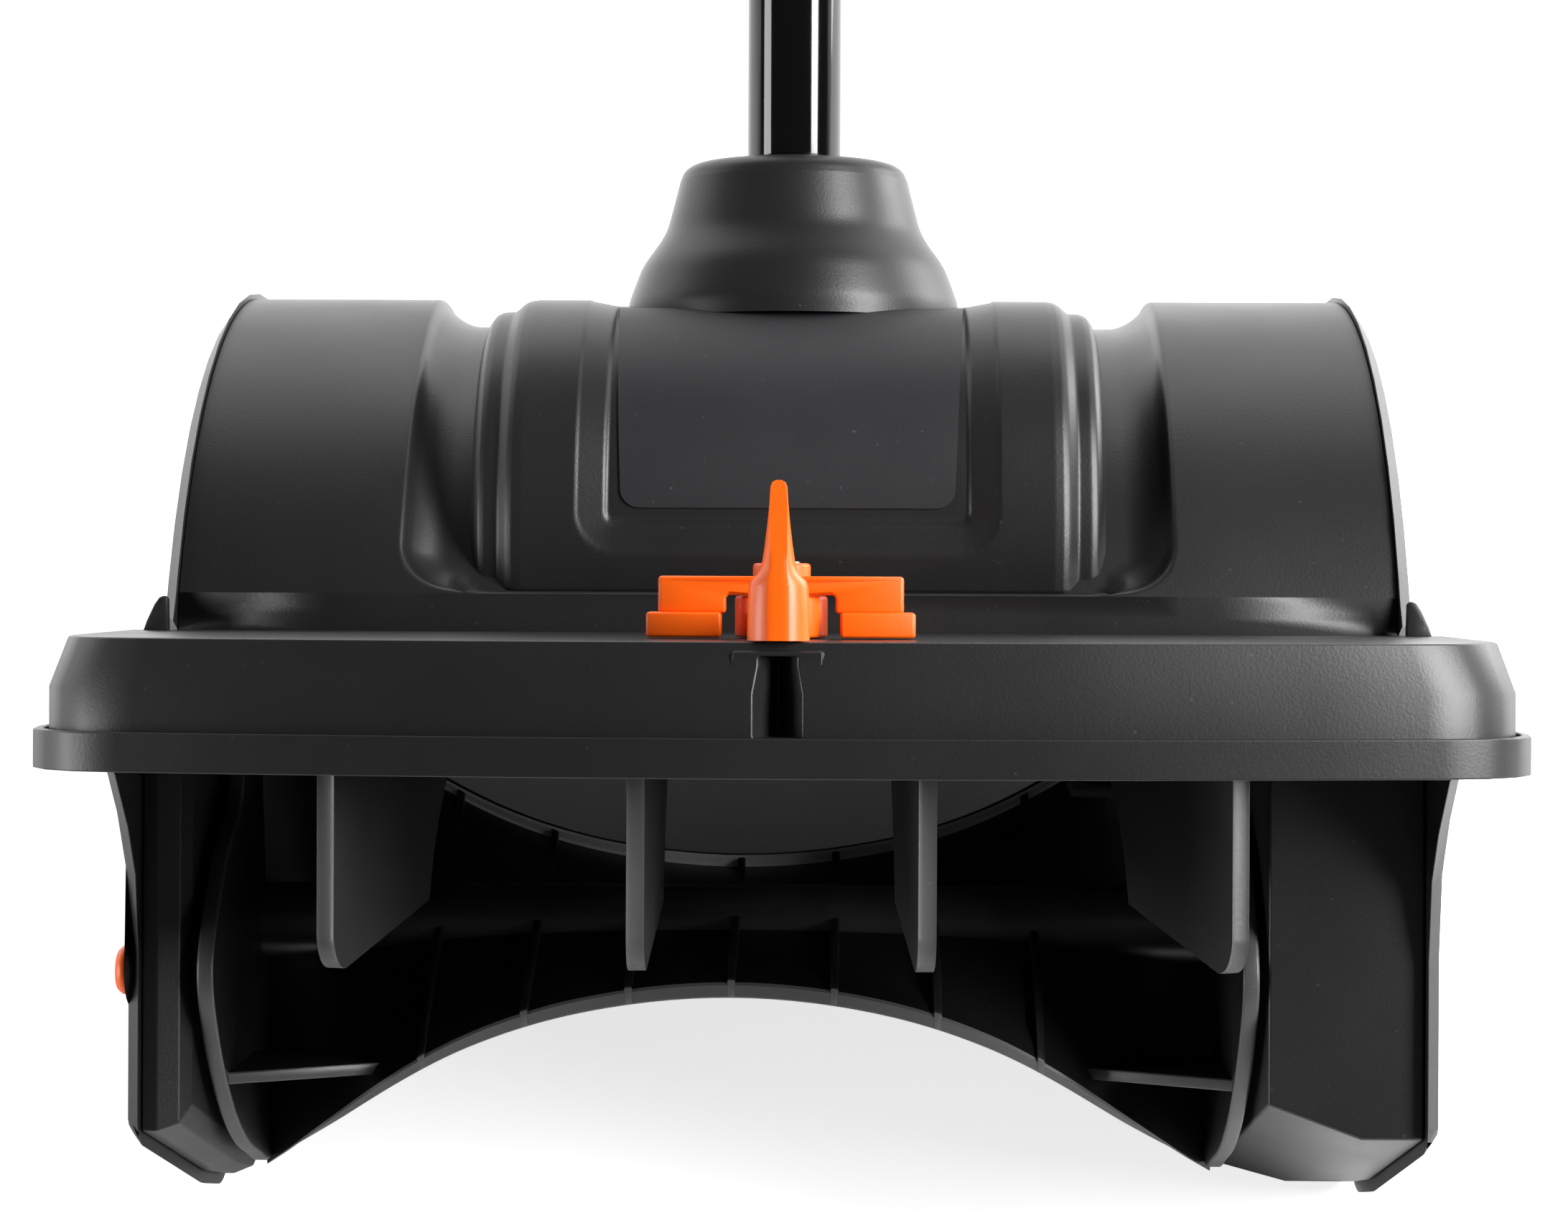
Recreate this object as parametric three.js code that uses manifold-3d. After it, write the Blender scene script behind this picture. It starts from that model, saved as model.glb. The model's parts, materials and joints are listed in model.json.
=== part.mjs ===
// Cordless single stage snow shovel with a twelve inch power head.
// Millimetres. The head is drawn in its own frame: X across, Y away from the mouth, Z along the shaft,
// with the rotor's axis at the origin. The whole machine then leans back and stands on the floor, z = 0.

import * as THREE from 'three';
import { mergeVertices } from 'three/addons/utils/BufferGeometryUtils.js';
import Module from 'manifold-3d';

const wasm = await Module();
wasm.setup();

// Stance
const leanDeg = 45;            // how far the shaft leans back from upright
const axisHeight = 80;         // rotor axis above the floor
const fit = 0.3;               // gap between two pieces that touch
const coverTopZ = 160;         // crest of the motor cover, where the neck sits
const overrun = 2;             // how far a cutting tool runs past what it cuts
const roundSteps = 20;         // facets of a full circle on most pieces

// Rotor
const rotorRadius = 74;        // largest sweep of the paddle ends
const endPlateThick = 4;
const bladeThick = 3.4;
const ribPitch = 24.9;
const ribThick = 2;
const ribHeight = 3.2;
const ribCount = 7;
const hubRadius = 9.5;
const axleRadius = 6;
const shelfReach = 34;         // small cross rib beside each end plate
const shelfThick = 3;

// Head
const plateOuterX = 152.5;     // outer face of the side plates: a twelve inch path
const plateThick = 3.3;
const shellRadius = 130;       // top of the housing, seen from the side
const shellCrestRise = 4;      // the housing's crest stands above the cover's
const shellFrontY = -31;
const shellFrontSlip = 0.6698; // the arc starts this far behind the front face
const shellWall = 3;
const shellArcZ = 83.2;
const shellCentreZ = coverTopZ + shellCrestRise - shellRadius;
const shellCentreY = shellFrontY + shellFrontSlip + Math.sqrt(shellRadius ** 2 - (shellArcZ - shellCentreZ) ** 2);
const shellRearDeg = 42;
const scoopRadius = 79;        // inner wall behind the rotor
const bellyHeight = 5;         // underside above the floor
const heelBack = 216;          // rear of the head behind the rotor axis
const heelHeight = 18;
const bellyBack = 200;
const scraperBack = 61.5;      // front edge of the scraper behind the rotor axis
const scraperWidth = 24;
const saddleDrop = 7.5;        // the housing is lower beside the motor cover
const saddleOuterX = 105;
const saddleInnerX = 87;
const saddleFootDeg = 2.2;     // turn over which the saddle fades out above the front edge
const plateProud = 1.6;        // the side plates stand proud of the housing
const runnerFront = -20;
const toeFrontY = -76;
const toeBottomZ = -45;
const noseY = 5;
const noseZ = -68;
const flareFrontY = -103;
const flareZ = 43;
const podInset = 3;
const leftPodX = 138.5;        // inner face of the left bearing pod
const gearcaseX = 112.8;       // inner face of the gearcase
const rotorLeftGap = 2.3;      // running gap beside the left pod
const rotorRightGap = 2;       // and beside the gearcase
const rotorCentreX = (gearcaseX - rotorRightGap - leftPodX + rotorLeftGap) / 2;
const rotorHalfWidth = (gearcaseX - rotorRightGap + leftPodX - rotorLeftGap) / 2;
const gearcaseSlope = 11;      // its belly rises towards the rotor
const podRound = 7;

// Plug in the left side plate
const plugRadius = 5.8;
const plugHeight = 3.2;
const plugStem = 3.4;
const plugY = -68;
const plugZ = -5;

// Hood tray over the vanes
const trayTopZ = 74;
const trayWall = 3;
const traySkirtZ = 53.7;
const trayLipZ = 45;
const trayMargin = 7.7;        // the tray is wider than the side plates
const trayHalf = plateOuterX + trayMargin;
const trayFlare = 3.5;
const trayLip = 2.9;
const trayFrontY = -138;
const trayBrowZ = 63;          // the skirt stands upright below this height
const trayBow = 17;
const trayCorner = 24;
const gutterDepth = 2.2;
const lipWall = 1.7;
const grooveHalf = 6.6;
const grooveDepth = 6;

// Vanes, link and steering lever
const vanePivotY = -100;
const vanePitch = 60;
const vaneFanDeg = [-15.5, -1.5, 4.5, 19.5];
const vaneThick = 4;
const vaneShoulder = 7;        // corner taken off under the tray's front wall
const vaneFront = 30;          // from the pivot to the front edge
const vaneTopZ = 58;
const vaneTipZ = 1.5;
const vaneFrontZ = 7;
const vaneRearZ = 12.7;
const rotorGap = 2.5;          // least gap between vanes and rotor
const stemRadius = 4;
const shankRadius = 3;
const bossRadius = 8;
const crankReach = 14;
const crankThick = 3;
const pegRadius = 2;
const linkThick = 4;
const linkWidth = 12;
const slotHalf = 2.5;
const slotLength = 9;
const leverDrumRadius = 10.5;
const leverDrumHeight = 9;
const leverBossRadius = 6.6;
const leverBossHeight = 16.4;
const wingReach = 30.5;
const wingThick = 3.6;
const wingLowZ = 80;
const wingHighZ = 88;
const wingSweep = 5;
const wingFootInner = 13.4;
const wingFootDepth = 6;
const tabHeight = 34;
const tabBaseHalf = 7;
const tabTipHalf = 1.8;
const tabDepth = 8;
const tabRidge = 1.6;

// Motor and gears
const motorY = 52;
const motorZ = 118;
const motorRadius = 30;
const motorLeftX = -28;
const motorRightX = 62;
const motorShaftRadius = 3;
const motorWall = 4;
const armatureRadius = 22;
const armatureInset = 14;      // from each end of the can
const mountThick = 4;
const gearModule = 1.5;
const pinionTeeth = 12;
const idlerTeeth = 48;
const rotorGearTeeth = 64;
const gearWidth = 10;
const gearX = 122;
const addendumShare = 0.8;
const dedendumShare = 1.05;
const pressureDeg = 22;
const backlash = 0.5;
const gearRoom = 3;
const caseWeb = 3;

// Motor cover and label panel
const coverCentreY = 35;       // the barrel's axis
const coverCentreZ = 100;
const coverRadius = 60;
const coverHalf = 69.5;
const coverStep = 8.8;
const coverStepDrop = 2.8;
const coverWall = 3;
const coverFootZ = 82.5;
const recessHalf = 53;
const recessZ = 94;
const recessCorner = 9;
const recessDepth = 2.2;
const labelTopHalf = 48;
const labelFootHalf = 40;
const labelZ = 105;
const labelTopZ = 155;
const labelCorner = 5;
const labelThick = 1;

// Shaft and neck
const shaftY = 60;
const shaftRadius = 12.7;
const shaftWall = 1.4;
const lowerShaftBottom = 153;
const lowerShaftTop = 560;
const upperShaftTop = 930;
const neckTopZ = 200;
const neckBaseRadius = 44.6;
const neckWall = 4;
const leadRadius = 3;

// Coupler between the two tubes
const couplerLength = 90;
const couplerWall = 5;

// Front handle on the shaft
const frontHandleZ = 700;
const clampHalf = 21;
const clampLength = 46;
const clampWidth = 52;
const loopHalf = 62;
const loopHeight = 118;
const gripRadius = 14;
const boltRadius = 4;
const boltDrop = 26;           // the bolt lies this far in front of the shaft's axis
const eyeRadius = 15;
const eyeThick = 12;
const knobRadius = 19;
const knobThick = 16;

// Rear handle
const handleSeat = 50;         // length of tube inside the handle
const rearLowZ = upperShaftTop - handleSeat;
const handleHalf = 20;
const handleWall = 3;
const gripBackY = shaftY + 14;          // underside of the grip
const gripFrontY = shaftY - 24;
const fingerGap = 38;
const guardThick = 14;
const gapRise = 70;            // from the handle's foot to the finger gap
const gapLength = 104;
const gapLowZ = rearLowZ + gapRise;
const gapHighZ = gapLowZ + gapLength;
const gripCrown = 38;          // handle above the finger gap
const rearHighZ = gapHighZ + gripCrown;
const handleRound = 9;
const triggerRise = 22;        // from the finger gap's foot to the trigger's
const triggerLowZ = gapLowZ + triggerRise;
const triggerLength = 44;
const triggerDepth = 11;
const triggerHalf = 7;
const triggerPinRadius = 2;
const triggerSwing = 7;         // room behind the trigger when it is pulled
const buttonRadius = 6;
const buttonTravel = 4;
const buttonRise = 42;         // from the trigger's foot to the lock button
const buttonZ = triggerLowZ + buttonRise;
const railStemHalf = 16;
const railHeadHalf = 24;
const railStem = 5;
const railHead = 5;
const railGap = 0.5;

// Battery pack
const packHalf = 38;
const packLength = 116;
const packHeight = 62;
const packRound = 8;
const packFrontY = shaftY - 48;
const latchHalf = 13;
const latchHeight = 12;
const latchDepth = 5;

const screwRadius = 4.2;
const screwHead = 2.4;

// Materials, from the photograph
const material = (color, roughness, metalness) => new THREE.MeshStandardMaterial({ color, roughness, metalness });
const shellPlastic = material(0x2b2b2d, 0.62, 0);
const darkPlastic = material(0x1d1d1f, 0.5, 0);
const orangePlastic = material(0xff6e00, 0.45, 0);
const blackPaint = material(0x0b0b0c, 0.18, 0.2);
const labelFilm = material(0x2d2b30, 0.7, 0);
const steel = material(0x9c9ea1, 0.35, 0.9);
const gripRubber = material(0x19191a, 0.85, 0);
const copper = material(0xb87345, 0.4, 0.8);

// Helpers

const toRad = (deg) => THREE.MathUtils.degToRad(deg);
const point = (u, v) => new THREE.Vector2(u, v);

// A place on or above the floor, given as a distance behind the rotor axis and a height, in the head's frame.
function onFloor(back, height) {
  const lean = toRad(leanDeg);
  const rise = height - axisHeight;
  return point(back * Math.cos(lean) - rise * Math.sin(lean), back * Math.sin(lean) + rise * Math.cos(lean));
}

function arc(centreU, centreV, radius, fromDeg, toDeg, steps) {
  const points = [];
  for (let i = 0; i <= steps; i += 1) {
    const angle = toRad(fromDeg + ((toDeg - fromDeg) * i) / Math.max(1, steps));
    points.push(point(centreU + radius * Math.cos(angle), centreV + radius * Math.sin(angle)));
  }
  return points;
}

function solid(geometry) {
  const bare = geometry.index ? geometry.toNonIndexed() : geometry.clone();
  bare.deleteAttribute('normal');
  bare.deleteAttribute('uv');
  const merged = mergeVertices(bare);
  const vertProperties = new Float32Array(merged.attributes.position.array);
  const triVerts = new Uint32Array(merged.index.array);
  return new wasm.Manifold(new wasm.Mesh({ numProp: 3, vertProperties, triVerts }));
}

function surface(body) {
  const mesh = body.getMesh();
  const geometry = new THREE.BufferGeometry();
  geometry.setAttribute('position', new THREE.BufferAttribute(new Float32Array(mesh.vertProperties), mesh.numProp));
  geometry.setIndex(new THREE.BufferAttribute(new Uint32Array(mesh.triVerts), 1));
  return geometry;
}

const join = (first, ...rest) => rest.reduce((whole, body) => whole.add(body), first);
const cut = (first, ...rest) => rest.reduce((whole, body) => whole.subtract(body), first);

function moved(body, x, y, z) {
  return body.translate([x, y, z]);
}

// An outline in Y and Z, extruded along X.
function acrossX(points, fromX, toX, bevel = 0) {
  const options = { depth: toX - fromX, bevelEnabled: false, steps: 1, curveSegments: 8 };
  if (bevel > 0) {
    Object.assign(options, { depth: toX - fromX - 2 * bevel, bevelEnabled: true, bevelSize: bevel });
    Object.assign(options, { bevelThickness: bevel, bevelSegments: 2, bevelOffset: -bevel });
  }
  const geometry = new THREE.ExtrudeGeometry(new THREE.Shape(points), options);
  const basis = new THREE.Matrix4();
  basis.makeBasis(new THREE.Vector3(0, 1, 0), new THREE.Vector3(0, 0, 1), new THREE.Vector3(1, 0, 0));
  geometry.applyMatrix4(basis);
  geometry.translate(fromX + bevel, 0, 0);
  return solid(geometry);
}

// An outline in X and Y, extruded along Z.
function upZ(points, fromZ, toZ) {
  const geometry = new THREE.ExtrudeGeometry(new THREE.Shape(points), { depth: toZ - fromZ, bevelEnabled: false });
  geometry.translate(0, 0, fromZ);
  return solid(geometry);
}

function box(fromX, toX, fromY, toY, fromZ, toZ) {
  const geometry = new THREE.BoxGeometry(toX - fromX, toY - fromY, toZ - fromZ);
  geometry.translate((fromX + toX) / 2, (fromY + toY) / 2, (fromZ + toZ) / 2);
  return solid(geometry);
}

function roundedBox(fromX, toX, fromY, toY, fromZ, toZ, radius) {
  const corners = [
    ...arc(toX - radius, toY - radius, radius, 0, 90, 3),
    ...arc(fromX + radius, toY - radius, radius, 90, 180, 3),
    ...arc(fromX + radius, fromY + radius, radius, 180, 270, 3),
    ...arc(toX - radius, fromY + radius, radius, 270, 360, 3),
  ];
  return upZ(corners, fromZ, toZ);
}

// A cylinder along X at one Y and Z.
function rodX(radius, fromX, toX, y, z, steps = roundSteps) {
  const geometry = new THREE.CylinderGeometry(radius, radius, toX - fromX, steps);
  geometry.rotateZ(Math.PI / 2);
  geometry.translate((fromX + toX) / 2, y, z);
  return solid(geometry);
}

function rodZ(radius, fromZ, toZ, x, y, steps = roundSteps) {
  const geometry = new THREE.CylinderGeometry(radius, radius, toZ - fromZ, steps);
  geometry.rotateX(Math.PI / 2);
  geometry.translate(x, y, (fromZ + toZ) / 2);
  return solid(geometry);
}

// A profile of radius and height, turned about the line x = 0, y = 0.
function turned(profile, steps = roundSteps) {
  const geometry = new THREE.LatheGeometry(profile, steps);
  geometry.rotateX(Math.PI / 2);
  return outward(geometry);
}

// Rings of points with equal counts, skinned from the first to the last and capped by a flat fan of triangles.
function loft(rings, capAxes) {
  const count = rings[0].length;
  const positions = rings.flat().flatMap((vertex) => [vertex.x, vertex.y, vertex.z]);
  const index = [];
  for (let ring = 0; ring + 1 < rings.length; ring += 1) {
    for (let i = 0; i < count; i += 1) {
      const a = ring * count + i;
      const b = ring * count + ((i + 1) % count);
      index.push(a, b, a + count, b, b + count, a + count);
    }
  }
  const cap = (ring, flip) => {
    const flat = rings[ring].map((vertex) => point(vertex[capAxes[0]], vertex[capAxes[1]]));
    const turn = THREE.ShapeUtils.isClockWise(flat);
    const base = ring * count;
    for (const [a, b, c] of THREE.ShapeUtils.triangulateShape(flat, [])) {
      const same = THREE.ShapeUtils.isClockWise([flat[a], flat[b], flat[c]]) === turn;
      index.push(...(same === flip ? [base + a, base + c, base + b] : [base + a, base + b, base + c]));
    }
  };
  cap(0, true);
  cap(rings.length - 1, false);
  const geometry = new THREE.BufferGeometry();
  geometry.setAttribute('position', new THREE.Float32BufferAttribute(positions, 3));
  geometry.setIndex(index);
  return outward(geometry);
}

// The solid of a closed geometry, turned inside out where its faces point in.
function outward(geometry) {
  const flat = geometry.index ? geometry.toNonIndexed() : geometry;
  const array = flat.attributes.position.array;
  const [a, b, c] = [new THREE.Vector3(), new THREE.Vector3(), new THREE.Vector3()];
  let volume = 0;
  for (let i = 0; i < array.length; i += 9) {
    a.fromArray(array, i);
    b.fromArray(array, i + 3);
    c.fromArray(array, i + 6);
    volume += a.dot(b.cross(c));
  }
  if (volume < 0) {
    for (let i = 0; i < array.length; i += 9) {
      b.fromArray(array, i + 3);
      c.fromArray(array, i + 6);
      c.toArray(array, i + 3);
      b.toArray(array, i + 6);
    }
  }
  return solid(flat);
}

const machine = new THREE.Group();

function add(name, body, look) {
  const mesh = new THREE.Mesh(surface(body), look);
  mesh.name = name;
  machine.add(mesh);
}

// Housing of the head

// The housing's section at a share of the saddle's drop, with its outline drawn in by an inset.
function shellSection(drop, inset) {
  const radius = shellRadius - drop - inset;
  const fullRadius = shellRadius - inset;
  const frontY = shellFrontY + inset;
  const inner = scoopRadius + inset;
  const startDeg = 180 - THREE.MathUtils.radToDeg(Math.asin((shellArcZ - shellCentreZ) / fullRadius));
  const foot = onFloor(scraperBack + inset, bellyHeight + inset);
  const footDeg = THREE.MathUtils.radToDeg(Math.atan2(foot.y, foot.x));
  const tangentDeg = footDeg + THREE.MathUtils.radToDeg(Math.acos(inner / foot.length()));
  const frontDeg = 180 - THREE.MathUtils.radToDeg(Math.acos(-frontY / inner));
  return [
    point(frontY, (shellArcZ + inner * Math.sin(toRad(frontDeg))) / 2),
    ...arc(shellCentreY, shellCentreZ, fullRadius, startDeg, startDeg, 0),
    ...arc(shellCentreY, shellCentreZ, radius, startDeg - saddleFootDeg, shellRearDeg, 16),
    onFloor(heelBack - inset, heelHeight),
    onFloor(bellyBack - inset, bellyHeight + inset),
    foot,
    ...arc(0, 0, inner, tangentDeg, frontDeg, 12),
  ];
}

function shellLoft(inset, fromX, toX) {
  const stations = [
    [fromX, 0], [-saddleOuterX, 0], [-(saddleOuterX + saddleInnerX) / 2, 0.75], [-saddleInnerX, 1],
    [saddleInnerX, 1], [(saddleOuterX + saddleInnerX) / 2, 0.75], [saddleOuterX, 0], [toX, 0],
  ];
  const rings = stations.map(([x, dropShare]) => shellSection(saddleDrop * dropShare, inset)
    .map((place) => new THREE.Vector3(x, place.x, place.y)));
  return loft(rings, ['y', 'z']);
}

const plateInnerX = plateOuterX - plateThick;
const shellHalf = plateInnerX - fit;
const shellOuter = (grow) => shellLoft(-grow, -shellHalf - grow, shellHalf + grow);
const motorRoom = rodX(motorRadius + gearRoom, motorLeftX - gearRoom, motorRightX + gearRoom, motorY, motorZ);

// Gear places along the line from the motor to the rotor
const pitchRadius = (teeth) => (gearModule * teeth) / 2;
const motorDistance = Math.hypot(motorY, motorZ);
const trainDistance = pitchRadius(pinionTeeth) + 2 * pitchRadius(idlerTeeth) + pitchRadius(rotorGearTeeth);
const trainScale = motorDistance / trainDistance;
const idlerShare = (pitchRadius(idlerTeeth) + pitchRadius(rotorGearTeeth)) / trainDistance;
const idlerY = motorY * idlerShare;
const idlerZ = motorZ * idlerShare;
const gearEndX = shellHalf - fit;

function gearRooms() {
  const fromX = gearcaseX + caseWeb;
  const toX = plateInnerX + overrun;
  const tip = gearModule + gearRoom;
  return join(
    rodX(pitchRadius(rotorGearTeeth) * trainScale + tip, fromX, toX, 0, 0, 36),
    rodX(pitchRadius(idlerTeeth) * trainScale + tip, fromX, toX, idlerY, idlerZ, 32),
    rodX(pitchRadius(pinionTeeth) * trainScale + tip, fromX, toX, motorY, motorZ),
  );
}

function scoopShell() {
  const hollow = shellLoft(shellWall, -shellHalf - overrun, shellHalf + overrun);
  const neckRoom = rodZ(neckBaseRadius + 1 + fit, coverTopZ - neckBaseRadius, coverTopZ + overrun, 0, shaftY, 32);
  return cut(shellOuter(0), hollow, motorRoom, neckRoom, gearRooms());
}

function sidePlateOutline() {
  const proudSection = shellSection(0, -plateProud);
  const over = proudSection.slice(1, 19);
  return [
    point(flareFrontY + 14, trayTopZ - trayWall - fit),
    point(flareFrontY + 4, flareZ + 14),
    point(flareFrontY, flareZ),
    point((flareFrontY + toeFrontY) / 2 + 1, flareZ - 13),
    point(toeFrontY - 3.5, flareZ - 25),
    point(toeFrontY, 0),
    point(toeFrontY, toeBottomZ + 4),
    point(toeFrontY + 3, toeBottomZ),
    point(noseY, noseZ),
    point(noseY + 27, noseZ - 5),
    onFloor(runnerFront - 3, 2),
    onFloor(runnerFront + 6, 0),
    onFloor(bellyBack - 14, 0),
    onFloor(heelBack + plateProud - 6, heelHeight - 10),
    onFloor(heelBack + plateProud, heelHeight + 4),
    ...over.reverse(),
    point(shellFrontY - 5, trayTopZ + 2 + fit),
    point(shellFrontY + fit, trayTopZ + fit),
    point(shellFrontY + fit, trayTopZ - trayWall - fit),
  ];
}

function sidePlate(side) {
  const from = side < 0 ? -plateOuterX : plateInnerX;
  let plate = acrossX(sidePlateOutline(), from, from + plateThick);
  if (side < 0) {
    plate = cut(plate, rodX(plugStem + fit, from - overrun, from + plateThick + overrun, plugY, plugZ, 16));
  }
  return plate;
}

// The outline that both pods fill, inside the side plates and the scoop's mouth.
function podOutline() {
  const inner = scoopRadius - fit;
  const foot = onFloor(scraperBack - fit - 0.5, podInset);
  const footDeg = THREE.MathUtils.radToDeg(Math.atan2(foot.y, foot.x));
  const tangentDeg = footDeg + THREE.MathUtils.radToDeg(Math.acos(inner / foot.length()));
  const frontDeg = 180 - THREE.MathUtils.radToDeg(Math.acos(-shellFrontY / inner));
  return [
    point(toeFrontY + podInset, trayTopZ - trayWall - fit),
    point(toeFrontY + podInset, toeBottomZ + podInset),
    point(noseY + 1, noseZ + podInset),
    point(noseY + 26, noseZ - 5 + podInset),
    onFloor(runnerFront + 2, podInset),
    foot,
    ...arc(0, 0, inner, tangentDeg, frontDeg, 10).slice(0, -1),
    point(shellFrontY, trayTopZ - trayWall - fit),
  ];
}

function leftPod() {
  const block = acrossX(podOutline(), -plateInnerX - podRound, -leftPodX, podRound);
  const slab = box(-plateInnerX + fit, -leftPodX + overrun, -rotorRadius * 2, rotorRadius * 2, -rotorRadius * 2,
    rotorRadius * 2);
  const seat = rodX(axleRadius + 8 + fit, -plateInnerX, -leftPodX + overrun, 0, 0);
  return cut(block.intersect(slab), seat);
}

function gearcase() {
  const outline = podOutline();
  const block = acrossX(outline, gearcaseX, plateInnerX - fit);
  const wedge = loft([gearcaseX - overrun, plateInnerX].map((x, end) => {
    const rise = end === 0 ? gearcaseSlope : -podInset;
    return [
      new THREE.Vector3(x, -rotorRadius * 2, toeBottomZ + 22 + rise - rotorRadius),
      new THREE.Vector3(x, -rotorRadius * 2, toeBottomZ + 22 + rise),
      new THREE.Vector3(x, noseY + 40, noseZ - 10 + rise),
      new THREE.Vector3(x, noseY + 40, noseZ - 10 + rise - rotorRadius),
    ];
  }), ['y', 'z']);
  const bore = rodX(axleRadius + 8 + fit, gearcaseX - overrun, gearcaseX + caseWeb + overrun, 0, 0);
  return cut(block, wedge, gearRooms(), bore);
}

function scraperBar() {
  const outline = [
    onFloor(scraperBack, 0), onFloor(scraperBack + scraperWidth, 0),
    onFloor(scraperBack + scraperWidth, bellyHeight - fit), onFloor(scraperBack + 1, bellyHeight - fit),
  ];
  return acrossX(outline, -plateInnerX + fit, plateInnerX - fit);
}

// Rotor

// The paddle's outer edge: share of the half width, distance along Y and along Z, from the axis.
const edgeShares = [
  [0, -0.575, -0.155], [0.2, -0.575, -0.18], [0.4, -0.62, -0.245], [0.6, -0.61, -0.38],
  [0.71, -0.54, -0.51], [0.8, -0.405, -0.61], [0.87, -0.16, -0.715], [0.965, 0.12, -0.83],
];

function edgeAt(share) {
  const size = Math.abs(share);
  let i = 0;
  while (i + 2 < edgeShares.length && edgeShares[i + 1][0] < size) {
    i += 1;
  }
  const [from, to] = [edgeShares[i], edgeShares[i + 1]];
  const mix = (size - from[0]) / (to[0] - from[0]);
  const y = THREE.MathUtils.lerp(from[1], to[1], mix) * rotorRadius;
  const z = THREE.MathUtils.lerp(from[2], to[2], mix) * rotorRadius;
  return point(y, z);
}

// The four corners of the paddle's section at one X, root to edge, with a height above the blade's face.
function bladeRing(x, lift, sink) {
  const edge = edgeAt((x - rotorCentreX) / (rotorHalfWidth - endPlateThick / 2));
  const along = edge.clone().normalize();
  const out = point(along.y, -along.x);
  const corner = (reach, rise) => {
    const place = along.clone().multiplyScalar(reach).add(out.clone().multiplyScalar(rise));
    return new THREE.Vector3(x, place.x, place.y);
  };
  const reach = edge.length();
  return [corner(0, sink), corner(0, lift), corner(reach, lift), corner(reach, sink)];
}

function blade() {
  const inner = rotorHalfWidth - endPlateThick / 2;
  const steps = 24;
  const rings = [];
  for (let i = 0; i <= steps; i += 1) {
    rings.push(bladeRing(rotorCentreX - inner + (2 * inner * i) / steps, bladeThick / 2, -bladeThick / 2));
  }
  return loft(rings, ['y', 'z']);
}

function bladeRibs() {
  const ribs = [];
  for (let i = 0; i < ribCount; i += 1) {
    const x = rotorCentreX + (i - (ribCount - 1) / 2) * ribPitch;
    const ends = [x - ribThick / 2, x + ribThick / 2];
    ribs.push(loft(ends.map((place) => bladeRing(place, bladeThick / 2 + ribHeight, -bladeThick / 4)), ['y', 'z']));
  }
  return ribs;
}

// End plate: share of the sweep radius at angles through half a turn, repeated for the other half.
const endPlateShares = [
  [182, 1], [198, 0.935], [220, 0.83], [242, 0.785], [262, 0.79], [280, 0.85], [300, 0.77], [318, 0.65], [340, 0.8],
];

function endPlateOutline() {
  const places = [0, 180].flatMap((turn) => endPlateShares.map(([deg, share]) => {
    const angle = toRad(deg + turn);
    const radius = share * rotorRadius;
    return new THREE.Vector3(radius * Math.cos(angle), radius * Math.sin(angle), 0);
  }));
  const curve = new THREE.CatmullRomCurve3(places, true, 'centripetal');
  return curve.getPoints(40).slice(0, -1).map((place) => point(place.x, place.y));
}

function shelf(side) {
  const wall = rotorCentreX + side * (rotorHalfWidth - endPlateThick);
  const y = -rotorRadius * 0.36;
  const z = -rotorRadius * 0.42;
  const rings = [wall + side, wall - side * shelfReach].map((x, end) => {
    const depth = (end === 0 ? 0.36 : 0.1) * rotorRadius;
    return [
      new THREE.Vector3(x, y - depth, z), new THREE.Vector3(x, y + 12, z),
      new THREE.Vector3(x, y + 12, z - shelfThick), new THREE.Vector3(x, y - depth, z - shelfThick),
    ];
  });
  return loft(rings, ['y', 'z']);
}

function rotor() {
  const left = rotorCentreX - rotorHalfWidth;
  const right = rotorCentreX + rotorHalfWidth;
  const outline = endPlateOutline();
  const half = join(blade(), ...bladeRibs(), shelf(-1), shelf(1));
  const whole = join(
    half, half.rotate([180, 0, 0]), rodX(hubRadius, left, right, 0, 0, 16),
    acrossX(outline, left, left + endPlateThick), acrossX(outline, right - endPlateThick, right),
  );
  return cut(whole, rodX(axleRadius + fit, left - overrun, right + overrun, 0, 0, 16));
}

function bearing(fromX) {
  const ring = rodX(axleRadius + 8, fromX, fromX + 7, 0, 0);
  return cut(ring, rodX(axleRadius + fit, fromX - overrun, fromX + 7 + overrun, 0, 0));
}

// Gears

// A straight flanked gear: each tooth has two root and two tip corners taken from the true flank.
function gear(teeth, scale, radiusTrim, bore, phase) {
  const pitch = pitchRadius(teeth) * scale;
  const tip = pitch + addendumShare * gearModule;
  const root = pitch - dedendumShare * gearModule;
  const halfPitch = Math.PI / teeth / 2 - backlash / 2 / pitch;
  const lean = Math.tan(toRad(pressureDeg));
  const tipHalf = halfPitch - ((tip - pitch) * lean) / pitch;
  const rootHalf = Math.min(halfPitch + ((pitch - root) * lean) / pitch, (Math.PI / teeth) * 0.92);
  const places = [];
  for (let i = 0; i < teeth; i += 1) {
    const middle = phase + (i * 2 * Math.PI) / teeth;
    const corners = [[root, -rootHalf], [tip - radiusTrim, -tipHalf], [tip - radiusTrim, tipHalf], [root, rootHalf]];
    for (const [radius, turn] of corners) {
      places.push(point(radius * Math.cos(middle + turn), radius * Math.sin(middle + turn)));
    }
  }
  const body = acrossX(places, gearX, gearX + gearWidth);
  return cut(body, rodX(bore, gearX - overrun, gearX + gearWidth + overrun, 0, 0, 16));
}

const trainAngle = Math.atan2(motorZ, motorY);

function drivePinion() {
  const phase = trainAngle + Math.PI + Math.PI / pinionTeeth;
  return moved(gear(pinionTeeth, trainScale, 0, motorShaftRadius + fit, phase), 0, motorY, motorZ);
}

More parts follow.
